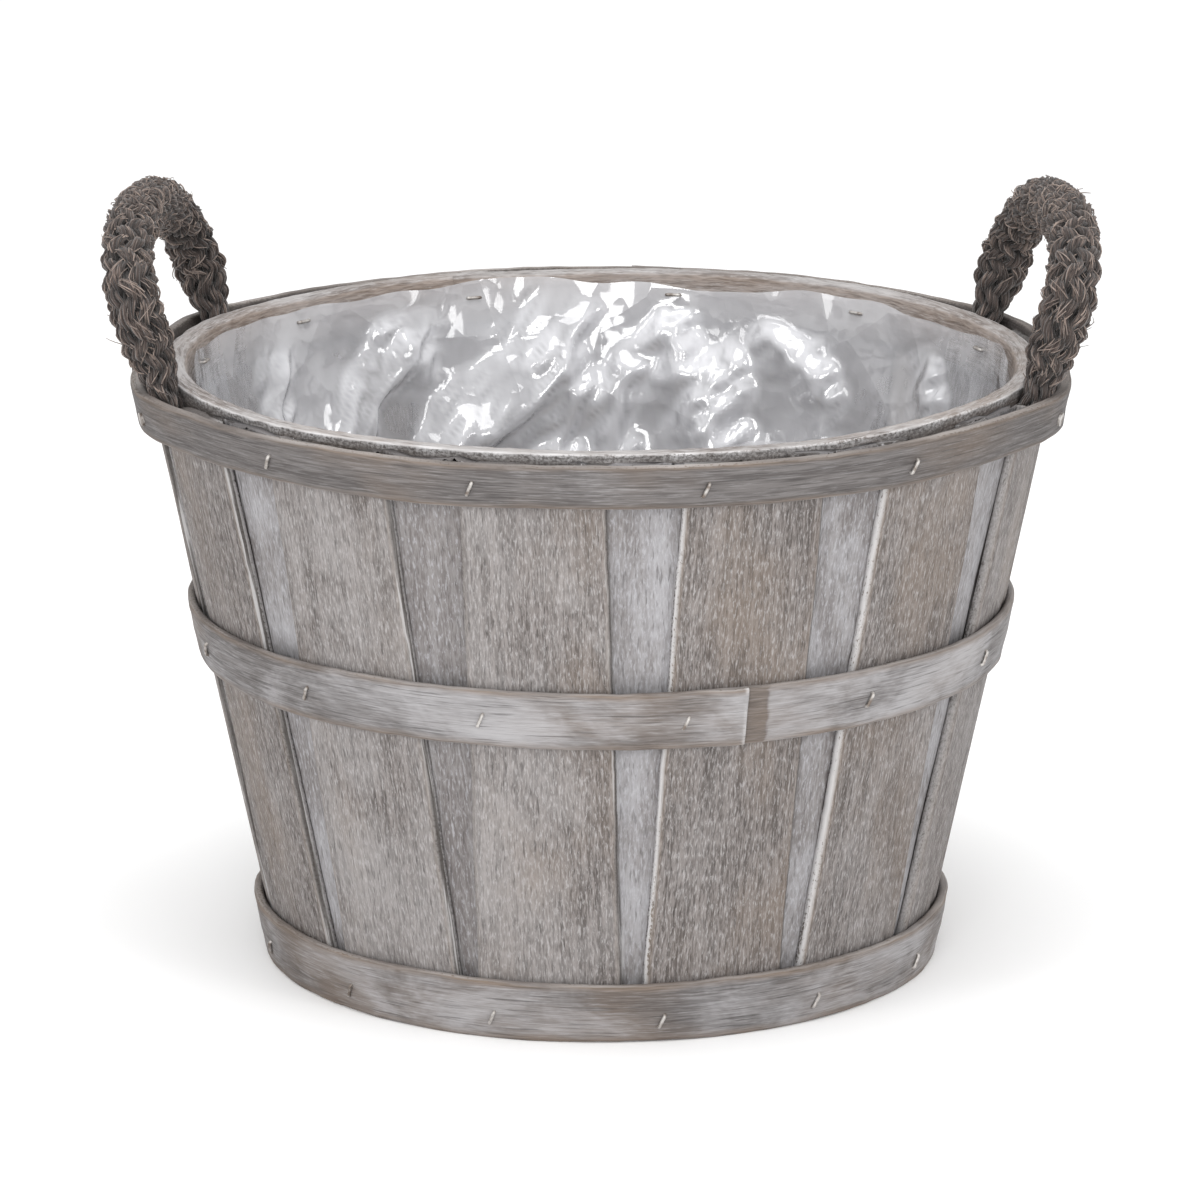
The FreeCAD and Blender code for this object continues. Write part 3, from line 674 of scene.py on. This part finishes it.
# For each row of small folds: height, count and shift. For each long crease: route, depth, half width.
FOLD_ROWS = [(0.056, 15, 0.0), (0.104, 16, 0.5), (0.145, 16, 0.0)]
LONG_FOLDS = [
    ([(181, 0.188), (186, 0.169), (190, 0.155), (200, 0.142), (207, 0.112)], 0.013, 0.009),
    ([(185, 0.178), (184, 0.150), (186, 0.128), (182, 0.090)], 0.011, 0.006),
    ([(171, 0.187), (166, 0.170), (161, 0.154), (163, 0.128)], 0.012, 0.008),
    ([(173, 0.171), (178, 0.152), (176, 0.130)], 0.007, 0.005),
    ([(156, 0.183), (144, 0.168), (141, 0.156)], 0.008, 0.006),
    ([(158, 0.180), (158, 0.145), (156, 0.110)], 0.007, 0.004),
    ([(214, 0.187), (209, 0.173), (219, 0.158), (222, 0.135)], 0.009, 0.006),
    ([(233, 0.186), (240, 0.150), (238, 0.110)], 0.006, 0.005),
    ([(122, 0.186), (117, 0.150), (121, 0.105)], 0.006, 0.005),
    ([(20, 0.180), (26, 0.130), (22, 0.080)], 0.008, 0.007),
    ([(335, 0.184), (342, 0.140), (336, 0.090)], 0.008, 0.007),
    ([(292, 0.180), (287, 0.130), (291, 0.085)], 0.007, 0.006),
    ([(68, 0.182), (74, 0.140), (70, 0.095)], 0.007, 0.006),
]


def film_folds():
    """The broad folds as the solid has them: big ones at the back, rows of small ones from a seed."""
    draw = random.Random(FOLD_SEED)
    folds = list(BIG_FOLDS)
    for row_height, count, shift in FOLD_ROWS:
        for place in range(count):
            turn = (place + shift + draw.uniform(-0.25, 0.25)) * 360 / count
            height = row_height + draw.uniform(-0.009, 0.009)
            near = False
            for big in BIG_FOLDS:
                aside = abs((turn - big[0] + 180) % 360 - 180)
                near = near or (aside < 11 and abs(height - big[1]) < 0.045)
            if near or draw.random() < 0.12:
                continue
            half_width = draw.uniform(0.013, 0.021)
            rise = min(FOLD_TOP - height, draw.uniform(0.022, 0.036))
            drop = min(height - FOLD_FOOT, draw.uniform(0.022, 0.038))
            depth = draw.uniform(0.0045, 0.0085)
            folds.append((turn, height, half_width, rise, drop, depth, draw.uniform(-9, 9)))
    return folds


def long_fold(a, z, base, route, depth, half_width):
    """A crease along a route: steep on one side, slack on the other, fading out at its ends."""
    ridge = 0 * a
    last = len(route) - 1
    wobble = 0.0035 * ripple(55, 9 * a, 55 * z)
    for step in range(last):
        (turn, level), (next_turn, next_level) = route[step], route[step + 1]
        across = (a - math.radians(turn - 90) + np.pi) % (2 * np.pi) - np.pi
        along = np.array([math.radians(next_turn - turn) * 0.125, next_level - level])
        here = np.stack([across * base + wobble, z - level], -1)
        share = np.clip(here @ along / (along @ along), 0, 1)
        apart = np.linalg.norm(here - share[..., None] * along, axis=-1)
        steep = here[..., 0] * along[1] > here[..., 1] * along[0]
        breadth = half_width * np.where(steep, 0.6, 2.4)
        way = (step + share) / last
        fade = smooth_step(way, 0, 0.2) * smooth_step(1 - way, 0, 0.3)
        ridge = np.maximum(ridge, depth * fade * np.clip(1 - apart / breadth, 0, 1))
    return ridge


def softened(field, reach):
    """A field averaged over its neighbours, so that broad folds bend softly."""
    wide = sum(np.roll(field, step, axis=1) for step in range(-reach, reach + 1)) / (2 * reach + 1)
    padded = np.pad(wide, ((reach, reach), (0, 0)), mode="edge")
    return sum(padded[step:step + len(field)] for step in range(2 * reach + 1)) / (2 * reach + 1)


def cones(a, z, count, slope, seed):
    """The lower side of many shallow cones: flat facets that meet in sharp creases."""
    draw = np.random.default_rng(seed)
    girth = 2 * np.pi * MEAN_RADIUS
    sites = np.stack([draw.uniform(0, girth, count), draw.uniform(-0.02, 0.21, count)], -1)
    steep = slope * draw.uniform(0.6, 1.4, count)
    start = slope * draw.uniform(0, 0.5, count) * (girth * 0.23 / count) ** 0.5
    height = np.full(a.shape, 1.0)
    for (place, level), rate, low in zip(sites, steep, start):
        sideways = (a * MEAN_RADIUS - place + girth / 2) % girth - girth / 2
        height = np.minimum(height, low + rate * np.hypot(sideways, z - level))
    return height


def film_bag(name):
    """One sheet of film: a creased floor, a folded wall and a ragged hem drawn to its staples."""
    turns = 540
    angle = np.linspace(0, 2 * np.pi, turns + 1)[:-1]
    hung = wall(FILM_DRAWN, FILM_DEPTH)
    bottom = BOARD_TOP + FILM_CLEAR
    path = [(FILM_FLOOR * s, bottom, 0.0) for s in np.linspace(0.02, 0.93, 34)]
    for s in np.linspace(0, np.pi / 2, 9)[1:]:
        path.append((FILM_FLOOR * (0.93 + 0.07 * math.sin(s)), bottom + 0.007 * (1 - math.cos(s)), 0.1))
    low = path[-1][1]
    for s in np.linspace(0, 1, 112)[1:]:
        slack = 1 - 0.75 * smooth_step(s, 0.86, 1)
        path.append((FILM_FLOOR + (hung - FILM_FLOOR) * s, low + (FILM_DRAWN - low) * s, slack))
    for s in np.linspace(0, 1, 18)[1:]:
        z = FILM_DRAWN + (FILM_HEM - FILM_DRAWN) * s
        path.append((wall(z, FILM_DEPTH), z, 0.25))
    path = np.array(path)
    a, i = np.meshgrid(angle, np.arange(len(path)), indexing="xy")
    base, z, loose = path[:, 0][i], path[:, 1][i], path[:, 2][i]
    back = np.exp(-((a - math.radians(88)) / 0.6) ** 2)
    rumpled = np.clip(smooth_step(ripple(77, a * 3 / np.pi, z * 9), -0.2, 0.9) + back, 0, 1)
    fold = 0 * a
    for turn, level, half_width, reach_up, reach_down, depth, slant in film_folds():
        share = np.where(z > level, (z - level) / reach_up, (z - level) / reach_down)
        middle = math.radians(turn - 90) + math.radians(slant) * np.clip(share, -1, 1)
        beside = ((a - middle + np.pi) % (2 * np.pi) - np.pi) * base / half_width
        fold = np.maximum(fold, depth * np.clip(1 - np.abs(share) - np.abs(beside), 0, 1))
    fold = softened(fold, 3)
    for route, depth, half_width in LONG_FOLDS:
        fold = fold + 0.7 * softened(long_fold(a, z, base, route, depth, half_width), 1)
    fine = rumpled * 0.6 * (cones(a, z, 300, 0.34, 6) - 0.0030)
    fine = fine + 0.35 * rumpled * (cones(a, z, 1000, 0.30, 7) - 0.0016)
    crumple = fold * (loose > 0.2) + np.clip(fine, -0.0024, 0.0026) * loose
    inward = np.clip(crumple, base - wall(z, FILM_OUTMOST), FILM_INMOST)
    lift = (loose < 0.05) * 0.35 * np.clip(crumple + 0.004, 0, 1) * smooth_step(base, 0.0, 0.05)
    hem = smooth_step(z, FILM_DRAWN, FILM_HEM)
    ragged = 0.0014 * ripple(31, a * 6 / (2 * np.pi), 0)
    ragged = ragged + 0.0010 * ripple(32, a * 19 / (2 * np.pi), 0)
    pulled = 0.5 + 0.5 * np.cos(a * 12 - math.radians(FIRST_STAVE - 90) * 12)
    drawn_in = np.where(z > FILM_DRAWN - 0.001, np.clip(inward, 0, 1), inward)
    radius = base - drawn_in - 0.0016 * hem * (1 - pulled)
    points = np.stack([radius * np.cos(a), radius * np.sin(a), z + lift + hem * ragged], -1).reshape(-1, 3)
    rows = len(path)
    faces = ring_faces(rows, turns)
    points = np.vstack([points, [[0, 0, bottom]]])
    faces += [((j + 1) % turns, j, rows * turns) for j in range(turns)]
    step_round = np.gradient(inward, axis=1)
    step_up = np.gradient(inward, axis=0)
    bent = np.abs(np.gradient(step_round, axis=1)) + np.abs(np.gradient(step_up, axis=0))
    mesh_round = 0.00142
    mesh_up = 0.0015
    slope = np.hypot(step_round / mesh_round, step_up / mesh_up)
    crease = np.append(np.clip(bent / 0.0005, 0, 1), 0.0)
    # Painted sheen: the film is made less clear where it slopes away from the wall.
    tilt = np.append(np.clip(slope, 0, 1), 0.0)
    # Milky along the hem. At the back centre the film is made more opaque white as a painted glare.
    milky_hem_and_glare = np.clip(smooth_step(z, 0.172, 0.186) + 1.6 * back * (z > 0.04), 0, 2.2)
    grain = [(points[v][0], points[v][2] + points[v][1]) for f in faces for v in f]
    marks = {"crease": crease, "tilt": tilt, "hem": np.append(milky_hem_and_glare, 0.0)}
    return mesh_piece(name, points, faces, grain, marks)


def film_finish(name):
    """Clear glossy film: nearly clear where it lies flat, milky in its creases and along its hem, with a
    painted sheen where it tilts and a painted glare at the back.
    """
    material, tree, shader = new_finish(name, {
        "Base Color": (0.62, 0.62, 0.645, 1), "Roughness": 0.10, "Specular IOR Level": 1.0, "IOR": 1.5,
        "Coat Weight": 1.0, "Coat Roughness": 0.05, "Coat IOR": 1.7})
    nodes = tree.nodes
    links = tree.links
    place = nodes.new("ShaderNodeTexCoord")
    mist = nodes.new("ShaderNodeTexNoise")
    set_inputs(mist, {"Scale": 22, "Detail": 3})
    links.new(place.outputs["Object"], mist.inputs["Vector"])
    # The tilt gives the painted sheen, and the creases their whitening.
    cover = shares(tree, mark(tree, "tilt"), 0.16, mark(tree, "crease"), 0.30)
    cover = maths(tree, "ADD", cover, maths(tree, "MULTIPLY", mist.outputs["Fac"], 0.45))
    # Painted glare: the hem mark also makes the back centre more opaque white.
    least = maths(tree, "ADD", maths(tree, "MULTIPLY", mark(tree, "hem"), 0.08), 0.16)
    cover = maths(tree, "ADD", cover, least)
    links.new(cover, shader.inputs["Alpha"])
    normal = None
    for scale, strength, distance in ((38, 0.55, 0.006), (120, 0.35, 0.0014)):
        cells = nodes.new("ShaderNodeTexVoronoi")
        set_inputs(cells, {"Scale": scale})
        links.new(place.outputs["Object"], cells.inputs["Vector"])
        normal = bumped(tree, cells.outputs["Distance"], strength, distance, normal)
    links.new(normal, shader.inputs["Normal"])
    links.new(normal, shader.inputs["Coat Normal"])
    return material


film = film_bag("liner_film")
film.data.materials.append(film_finish("clear_film"))
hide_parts("liner")
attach(film, "basket")

# The rope handles: twelve strands of dark natural fibre braided round a core, about 19 mm thick.
# Each rope is one length. Its ends are pressed flat between the two rim hoops and nailed.
# The loop stands up by its own stiffness and leans out. Short loose fibres lie across its strands.
RIM_TOP = 0.1944
HANDLE_ANGLE = 95.0
HANDLE_LEAN = math.radians(18.0)
FOOT_DISTANCE = wall(RIM_TOP, -0.0016)
LOOP_ROUTE = [
    (-0.0570, 0.0106), (-0.0595, 0.0250), (-0.0530, 0.0375), (-0.0360, 0.0465), (-0.0100, 0.0495),
    (0.0160, 0.0485), (0.0390, 0.0425), (0.0535, 0.0320), (0.0580, 0.0210), (0.0570, 0.0106),
]
TUCK_ROUTE = [(0.0570, -0.0120), (0.0571, -0.0010)]
BRAID_LAY = 0.062
STRAND_COUNT = 6
CORE_RADIUS = 0.0042
STRAND_CENTRE = 0.0056
STRAND_CORE = 0.0015
STRAND_WEAVE = 0.0012
STRAND_WIDE = 0.0021
STRAND_DEEP = 0.0015
YARN_COUNT = 8
YARN_RADIUS = 0.00060
YARN_LAY = 0.022
FIBRE_COUNT = 1200
ROPE_POINTS = 210


def rope_finish(name, pale):
    """Coarse dry plant fibre: dark yarn with pale straw fibres and a soft sheen, and painted shade inside
    the braid.
    """
    material, tree, shader = new_finish(name, {
        "Specular IOR Level": 0.35, "Sheen Weight": 0.25, "Sheen Roughness": 0.5})
    nodes = tree.nodes
    links = tree.links
    grain = nodes.new("ShaderNodeUVMap")
    grain.uv_map = "grain"
    fine = streaks(tree, grain, 2600, 160, 3, 0.65, 0.0, 0.5)
    patch = streaks(tree, grain, 60, 55, 2, 0.65, 0.0, 0.5)
    tones = nodes.new("ShaderNodeValToRGB")
    deepest, straw = tones.color_ramp.elements
    deepest.position = 0.34 - pale
    deepest.color = (0.016, 0.012, 0.010, 1)
    straw.position = 0.70 - pale
    straw.color = (0.33, 0.253, 0.212, 1)
    middle = tones.color_ramp.elements.new(0.52 - pale)
    middle.color = (0.045, 0.030, 0.025, 1)
    blend = nodes.new("ShaderNodeMix")
    blend.data_type = "FLOAT"
    set_inputs(blend, {"Factor": 0.35})
    links.new(fine, blend.inputs["A"])
    links.new(patch, blend.inputs["B"])
    links.new(blend.outputs["Result"], tones.inputs["Fac"])
    # Painted shade: the core and the yarns deep inside the braid are coloured nearly black.
    deep = nodes.new("ShaderNodeMix")
    deep.data_type = "RGBA"
    deep.inputs["A"].default_value = (0.012, 0.009, 0.008, 1)
    links.new(mark(tree, "outside"), deep.inputs["Factor"])
    links.new(tones.outputs["Color"], deep.inputs["B"])
    links.new(deep.outputs["Result"], shader.inputs["Base Color"])
    dry = nodes.new("ShaderNodeMapRange")
    set_inputs(dry, {"To Min": 0.85, "To Max": 0.55})
    links.new(fine, dry.inputs["Value"])
    links.new(dry.outputs["Result"], shader.inputs["Roughness"])
    links.new(bumped(tree, fine, 0.8, 0.0005), shader.inputs["Normal"])
    return material


def route_points(name, control):
    """Evenly spaced points of the smooth spline through the route's control points."""
    curve = bpy.data.curves.new(name, "CURVE")
    curve.dimensions = "3D"
    curve.resolution_u = 32
    spline = curve.splines.new("NURBS")
    spline.points.add(len(control) - 1)
    for point, place in zip(spline.points, control):
        point.co = (*place, 1)
    spline.order_u = 3
    spline.use_endpoint_u = True
    holder = bpy.data.objects.new(name, curve)
    bpy.context.scene.collection.objects.link(holder)
    bpy.context.view_layer.update()
    mesh = bpy.data.meshes.new_from_object(holder.evaluated_get(bpy.context.evaluated_depsgraph_get()))
    line = np.array([v.co for v in mesh.vertices])
    bpy.data.objects.remove(holder)
    bpy.data.curves.remove(curve)
    bpy.data.meshes.remove(mesh)
    length = np.concatenate([[0], np.cumsum(np.linalg.norm(np.diff(line, axis=0), axis=1))])
    even = np.linspace(0, length[-1], ROPE_POINTS)
    return np.stack([np.interp(even, length, line[:, k]) for k in range(3)], -1), even


def rope_frame(side):
    """The handle's own directions: along the line between its feet, outwards, and up its lean."""
    turn = math.radians(side * HANDLE_ANGLE)
    out = np.array([math.sin(turn), -math.cos(turn), 0.0])
    along = side * np.array([math.cos(turn), math.sin(turn), 0.0])
    up = np.array([0, 0, math.cos(HANDLE_LEAN)]) + math.sin(HANDLE_LEAN) * out
    chord = math.sqrt(FOOT_DISTANCE ** 2 - LOOP_ROUTE[-1][0] ** 2)
    return along, out, up, chord * out + np.array([0, 0, RIM_TOP])


def tube_mesh(lines, radii, sides):
    """Round tubes along several lines of points, as points, faces and a grain map."""
    points, faces, grain = [], [], []
    for index, (line, radius) in enumerate(zip(lines, radii)):
        tangent = np.gradient(line, axis=0)
        tangent /= np.linalg.norm(tangent, axis=1)[:, None]
        normal = np.cross(tangent, np.roll(tangent, 3, axis=1) * [1, -1, 1] + 0.01)
        normal /= np.linalg.norm(normal, axis=1)[:, None]
        for i in range(1, len(line)):
            n = normal[i - 1] - tangent[i] * np.dot(normal[i - 1], tangent[i])
            normal[i] = n / np.linalg.norm(n)
        other = np.cross(tangent, normal)
        start = sum(len(p) for p in points)
        turn = np.arange(sides) * 2 * np.pi / sides
        ring = normal[:, None] * np.cos(turn)[None, :, None] + other[:, None] * np.sin(turn)[None, :, None]
        points.append((line[:, None] + ring * np.asarray(radius).reshape(-1, 1, 1)).reshape(-1, 3))
        steps = np.linalg.norm(np.diff(line, axis=0), axis=1)
        run = np.concatenate([[0], np.cumsum(steps)]) + index * 0.37
        width = 2 * np.pi * float(np.mean(radius)) / sides
        faces += [tuple(start + v for v in face) for face in ring_faces(len(line), sides)]
        for i in range(len(line) - 1):
            for j in range(sides):
                u = j * width
                v = (j + 1) * width
                grain += [(u, run[i]), (v, run[i]), (v, run[i + 1]), (u, run[i + 1])]
        end = start + (len(line) - 1) * sides
        for ring_start, order in ((start, range(sides - 1, -1, -1)), (end, range(sides))):
            faces.append(tuple(ring_start + j for j in order))
            grain += [(j * width, run[0]) for j in order]
    return np.vstack(points), faces, grain


def braided_rope(name, side, seed):
    """One handle: strands of twisted yarn that pass over and under, and its loose fibres."""
    along, out, up, foot = rope_frame(side)
    draw = random.Random(seed)
    control = [foot + u * along + v * up for u, v in
               [(-u, v) for u, v in TUCK_ROUTE] + LOOP_ROUTE + list(reversed(TUCK_ROUTE))]
    line, run = route_points(name + "_route", control)
    tangent = np.gradient(line, axis=0)
    tangent /= np.linalg.norm(tangent, axis=1)[:, None]
    across = np.cross(up, along)
    across = across / np.linalg.norm(across)
    across = across * np.sign(np.dot(across, out))
    inner = np.cross(across, tangent)
    rise = (line - foot) @ up
    pressed = 1 - smooth_step(rise, -0.002, 0.016)
    flat = 1 - 0.5 * pressed
    wide = 1 + 0.16 * pressed
    swell = 1 + 0.03 * np.sin(run * 2 * np.pi / 0.047 + draw.uniform(0, 6))

    def placed(x, y, k=slice(None)):
        sideways = across * (x * flat[k] * swell[k])[:, None]
        return line[k] + sideways + inner[k] * (y * wide[k] * swell[k])[:, None]

    lines = [placed(0 * run, 0 * run)]
    radii = [CORE_RADIUS * flat]
    strands = []
    for way in (1, -1):
        for strand in range(STRAND_COUNT):
            first = (strand + (0.5 if way < 0 else 0)) * 2 * np.pi / STRAND_COUNT
            angle = way * 2 * np.pi * run / BRAID_LAY + first
            angle = angle + 0.05 * np.sin(run * draw.uniform(60, 140) + draw.uniform(0, 6))
            over = np.cos(STRAND_COUNT * 2 * np.pi * run / BRAID_LAY - np.pi / 2)
            centre = STRAND_CENTRE + STRAND_WEAVE * way * over
            strands.append((angle, centre))
            lines.append(placed(centre * np.cos(angle), centre * np.sin(angle)))
            radii.append(STRAND_CORE * (0.5 + 0.5 * flat))
            for yarn in range(YARN_COUNT):
                twist = -way * 2 * np.pi * run / YARN_LAY + yarn * 2 * np.pi / YARN_COUNT
                twist = twist + draw.uniform(-0.2, 0.2)
                loose = draw.uniform(0.88, 1.06)
                loose = loose + 0.07 * np.sin(run * draw.uniform(150, 500) + draw.uniform(0, 6))
                radial = centre + STRAND_DEEP * np.cos(twist) * loose
                sideways = STRAND_WIDE * np.sin(twist) * loose
                x = radial * np.cos(angle) - sideways * np.sin(angle)
                y = radial * np.sin(angle) + sideways * np.cos(angle)
                lines.append(placed(x, y))
                stout = YARN_RADIUS * draw.uniform(0.75, 1.15)
                radii.append(stout * (1 + 0.15 * np.sin(run * draw.uniform(300, 900))))
    points, faces, grain = tube_mesh(lines, radii, 5)
    nearest = np.concatenate([np.tile(np.arange(len(line))[:, None], (1, 5)).ravel() for _ in lines])
    apart = points - line[nearest]
    sideways = apart @ across / flat[nearest]
    inwards = np.einsum("ij,ij->i", apart, inner[nearest]) / wide[nearest]
    reach = np.hypot(sideways, inwards)
    # Yarns deep in the braid get the finish's painted shade.
    rope = mesh_piece(name, points, faces, grain, {"outside": smooth_step(reach, 0.0060, 0.0086)})

    hairs, hair_radii = [], []
    for _ in range(FIBRE_COUNT):
        angle, centre = draw.choice(strands)
        at = draw.randint(12, len(line) - 30)
        k = np.arange(at, at + draw.randint(3, 7))
        lay = draw.choice((-1, 1)) * draw.uniform(40, 420)
        twist = draw.uniform(-1.3, 1.3) + lay * (run[k] - run[at])
        lift = abs(draw.gauss(0.0, 0.0014 if draw.random() < 0.08 else 0.0002))
        lifted = lift * np.linspace(0, 1, len(k)) ** 1.5
        radial = centre[k] + (STRAND_DEEP + YARN_RADIUS) * np.cos(twist) + lifted
        sideways = (STRAND_WIDE + YARN_RADIUS) * np.sin(twist)
        x = radial * np.cos(angle[k]) - sideways * np.sin(angle[k])
        y = radial * np.sin(angle[k]) + sideways * np.cos(angle[k])
        hairs.append(placed(x, y, k))
        hair_radii.append(np.linspace(0.00023, 0.00012, len(k)) * draw.uniform(0.7, 1.2))
    points, faces, grain = tube_mesh(hairs, hair_radii, 4)
    fuzz = mesh_piece(name + "_fibres", points, faces, grain, {"outside": np.ones(len(points))})
    return rope, fuzz, line


rope_yarn = rope_finish("dark_rope_fibre", 0.0)
loose_fibre = rope_finish("pale_rope_fibre", 0.11)
for side, hand in ((1, "right"), (-1, "left")):
    rope, fuzz, line = braided_rope(hand + "_rope", side, 300 + side)
    for piece, finish in ((rope, rope_yarn), (fuzz, loose_fibre)):
        piece.data.materials.append(finish)
        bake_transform(piece)
    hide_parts(hand + "_handle_rope", hand + "_front_rope_end", hand + "_rear_rope_end")

# The studio: a white floor that the basket stands on, large soft lights and a long lens.
# They belong to the picture and not to the basket.
FLOOR_HALF = 6.0
CAMERA_PLACE = (-0.0003, -2.1684, 0.6729)
CAMERA_PITCH = math.radians(14.43)
FOCAL_PIXELS = 6915.7
PICTURE_PIXELS = 1200
corners = [(x * FLOOR_HALF, y * FLOOR_HALF, 0) for x, y in ((-1, -1), (1, -1), (1, 1), (-1, 1))]
floor = mesh_piece("studio_floor", corners, [(0, 1, 2, 3)])
paper, _, _ = new_finish("white_paper", {"Base Color": (0.92, 0.92, 0.92, 1), "Roughness": 0.9})
floor.data.materials.append(paper)


def soft_light(name, place, aim, size, power):
    """A broad lamp at a place, turned towards its aim."""
    lamp = bpy.data.lights.new(name, "AREA")
    lamp.shape = "RECTANGLE"
    lamp.size, lamp.size_y = size
    lamp.energy = power
    holder = bpy.data.objects.new(name, lamp)
    bpy.context.scene.collection.objects.link(holder)
    holder.location = place
    direction = np.array(aim) - np.array(place)
    yaw = math.atan2(direction[0], direction[1])
    drop = math.atan2(np.hypot(direction[0], direction[1]), -direction[2])
    holder.rotation_euler = (drop, 0, -yaw)


soft_light("top_softbox", (0.0, -0.3, 1.7), (0, 0, 0.1), (1.0, 1.0), 12)
soft_light("front_softbox", (-0.20, -2.5, 0.9), (0, 0, 0.1), (1.2, 0.9), 24)
soft_light("right_softbox", (1.5, -1.5, 0.9), (0, 0, 0.1), (0.5, 0.9), 8)
soft_light("left_softbox", (-1.5, -1.2, 0.9), (0, 0, 0.1), (0.5, 0.9), 5)
world = bpy.data.worlds.new("studio_white")
world.use_nodes = True
set_inputs(world.node_tree.nodes["Background"], {"Color": (1, 1, 1, 1), "Strength": 1.0})
bpy.context.scene.world = world
bpy.context.scene.view_settings.view_transform = "Standard"

lens = bpy.data.cameras.new("long_lens")
lens.sensor_width = 36
lens.lens = lens.sensor_width * FOCAL_PIXELS / PICTURE_PIXELS
lens.clip_end = 50
camera = bpy.data.objects.new("long_lens", lens)
camera.location = CAMERA_PLACE
camera.rotation_euler = (math.pi / 2 - CAMERA_PITCH, 0, 0)
bpy.context.scene.collection.objects.link(camera)
bpy.context.scene.camera = camera
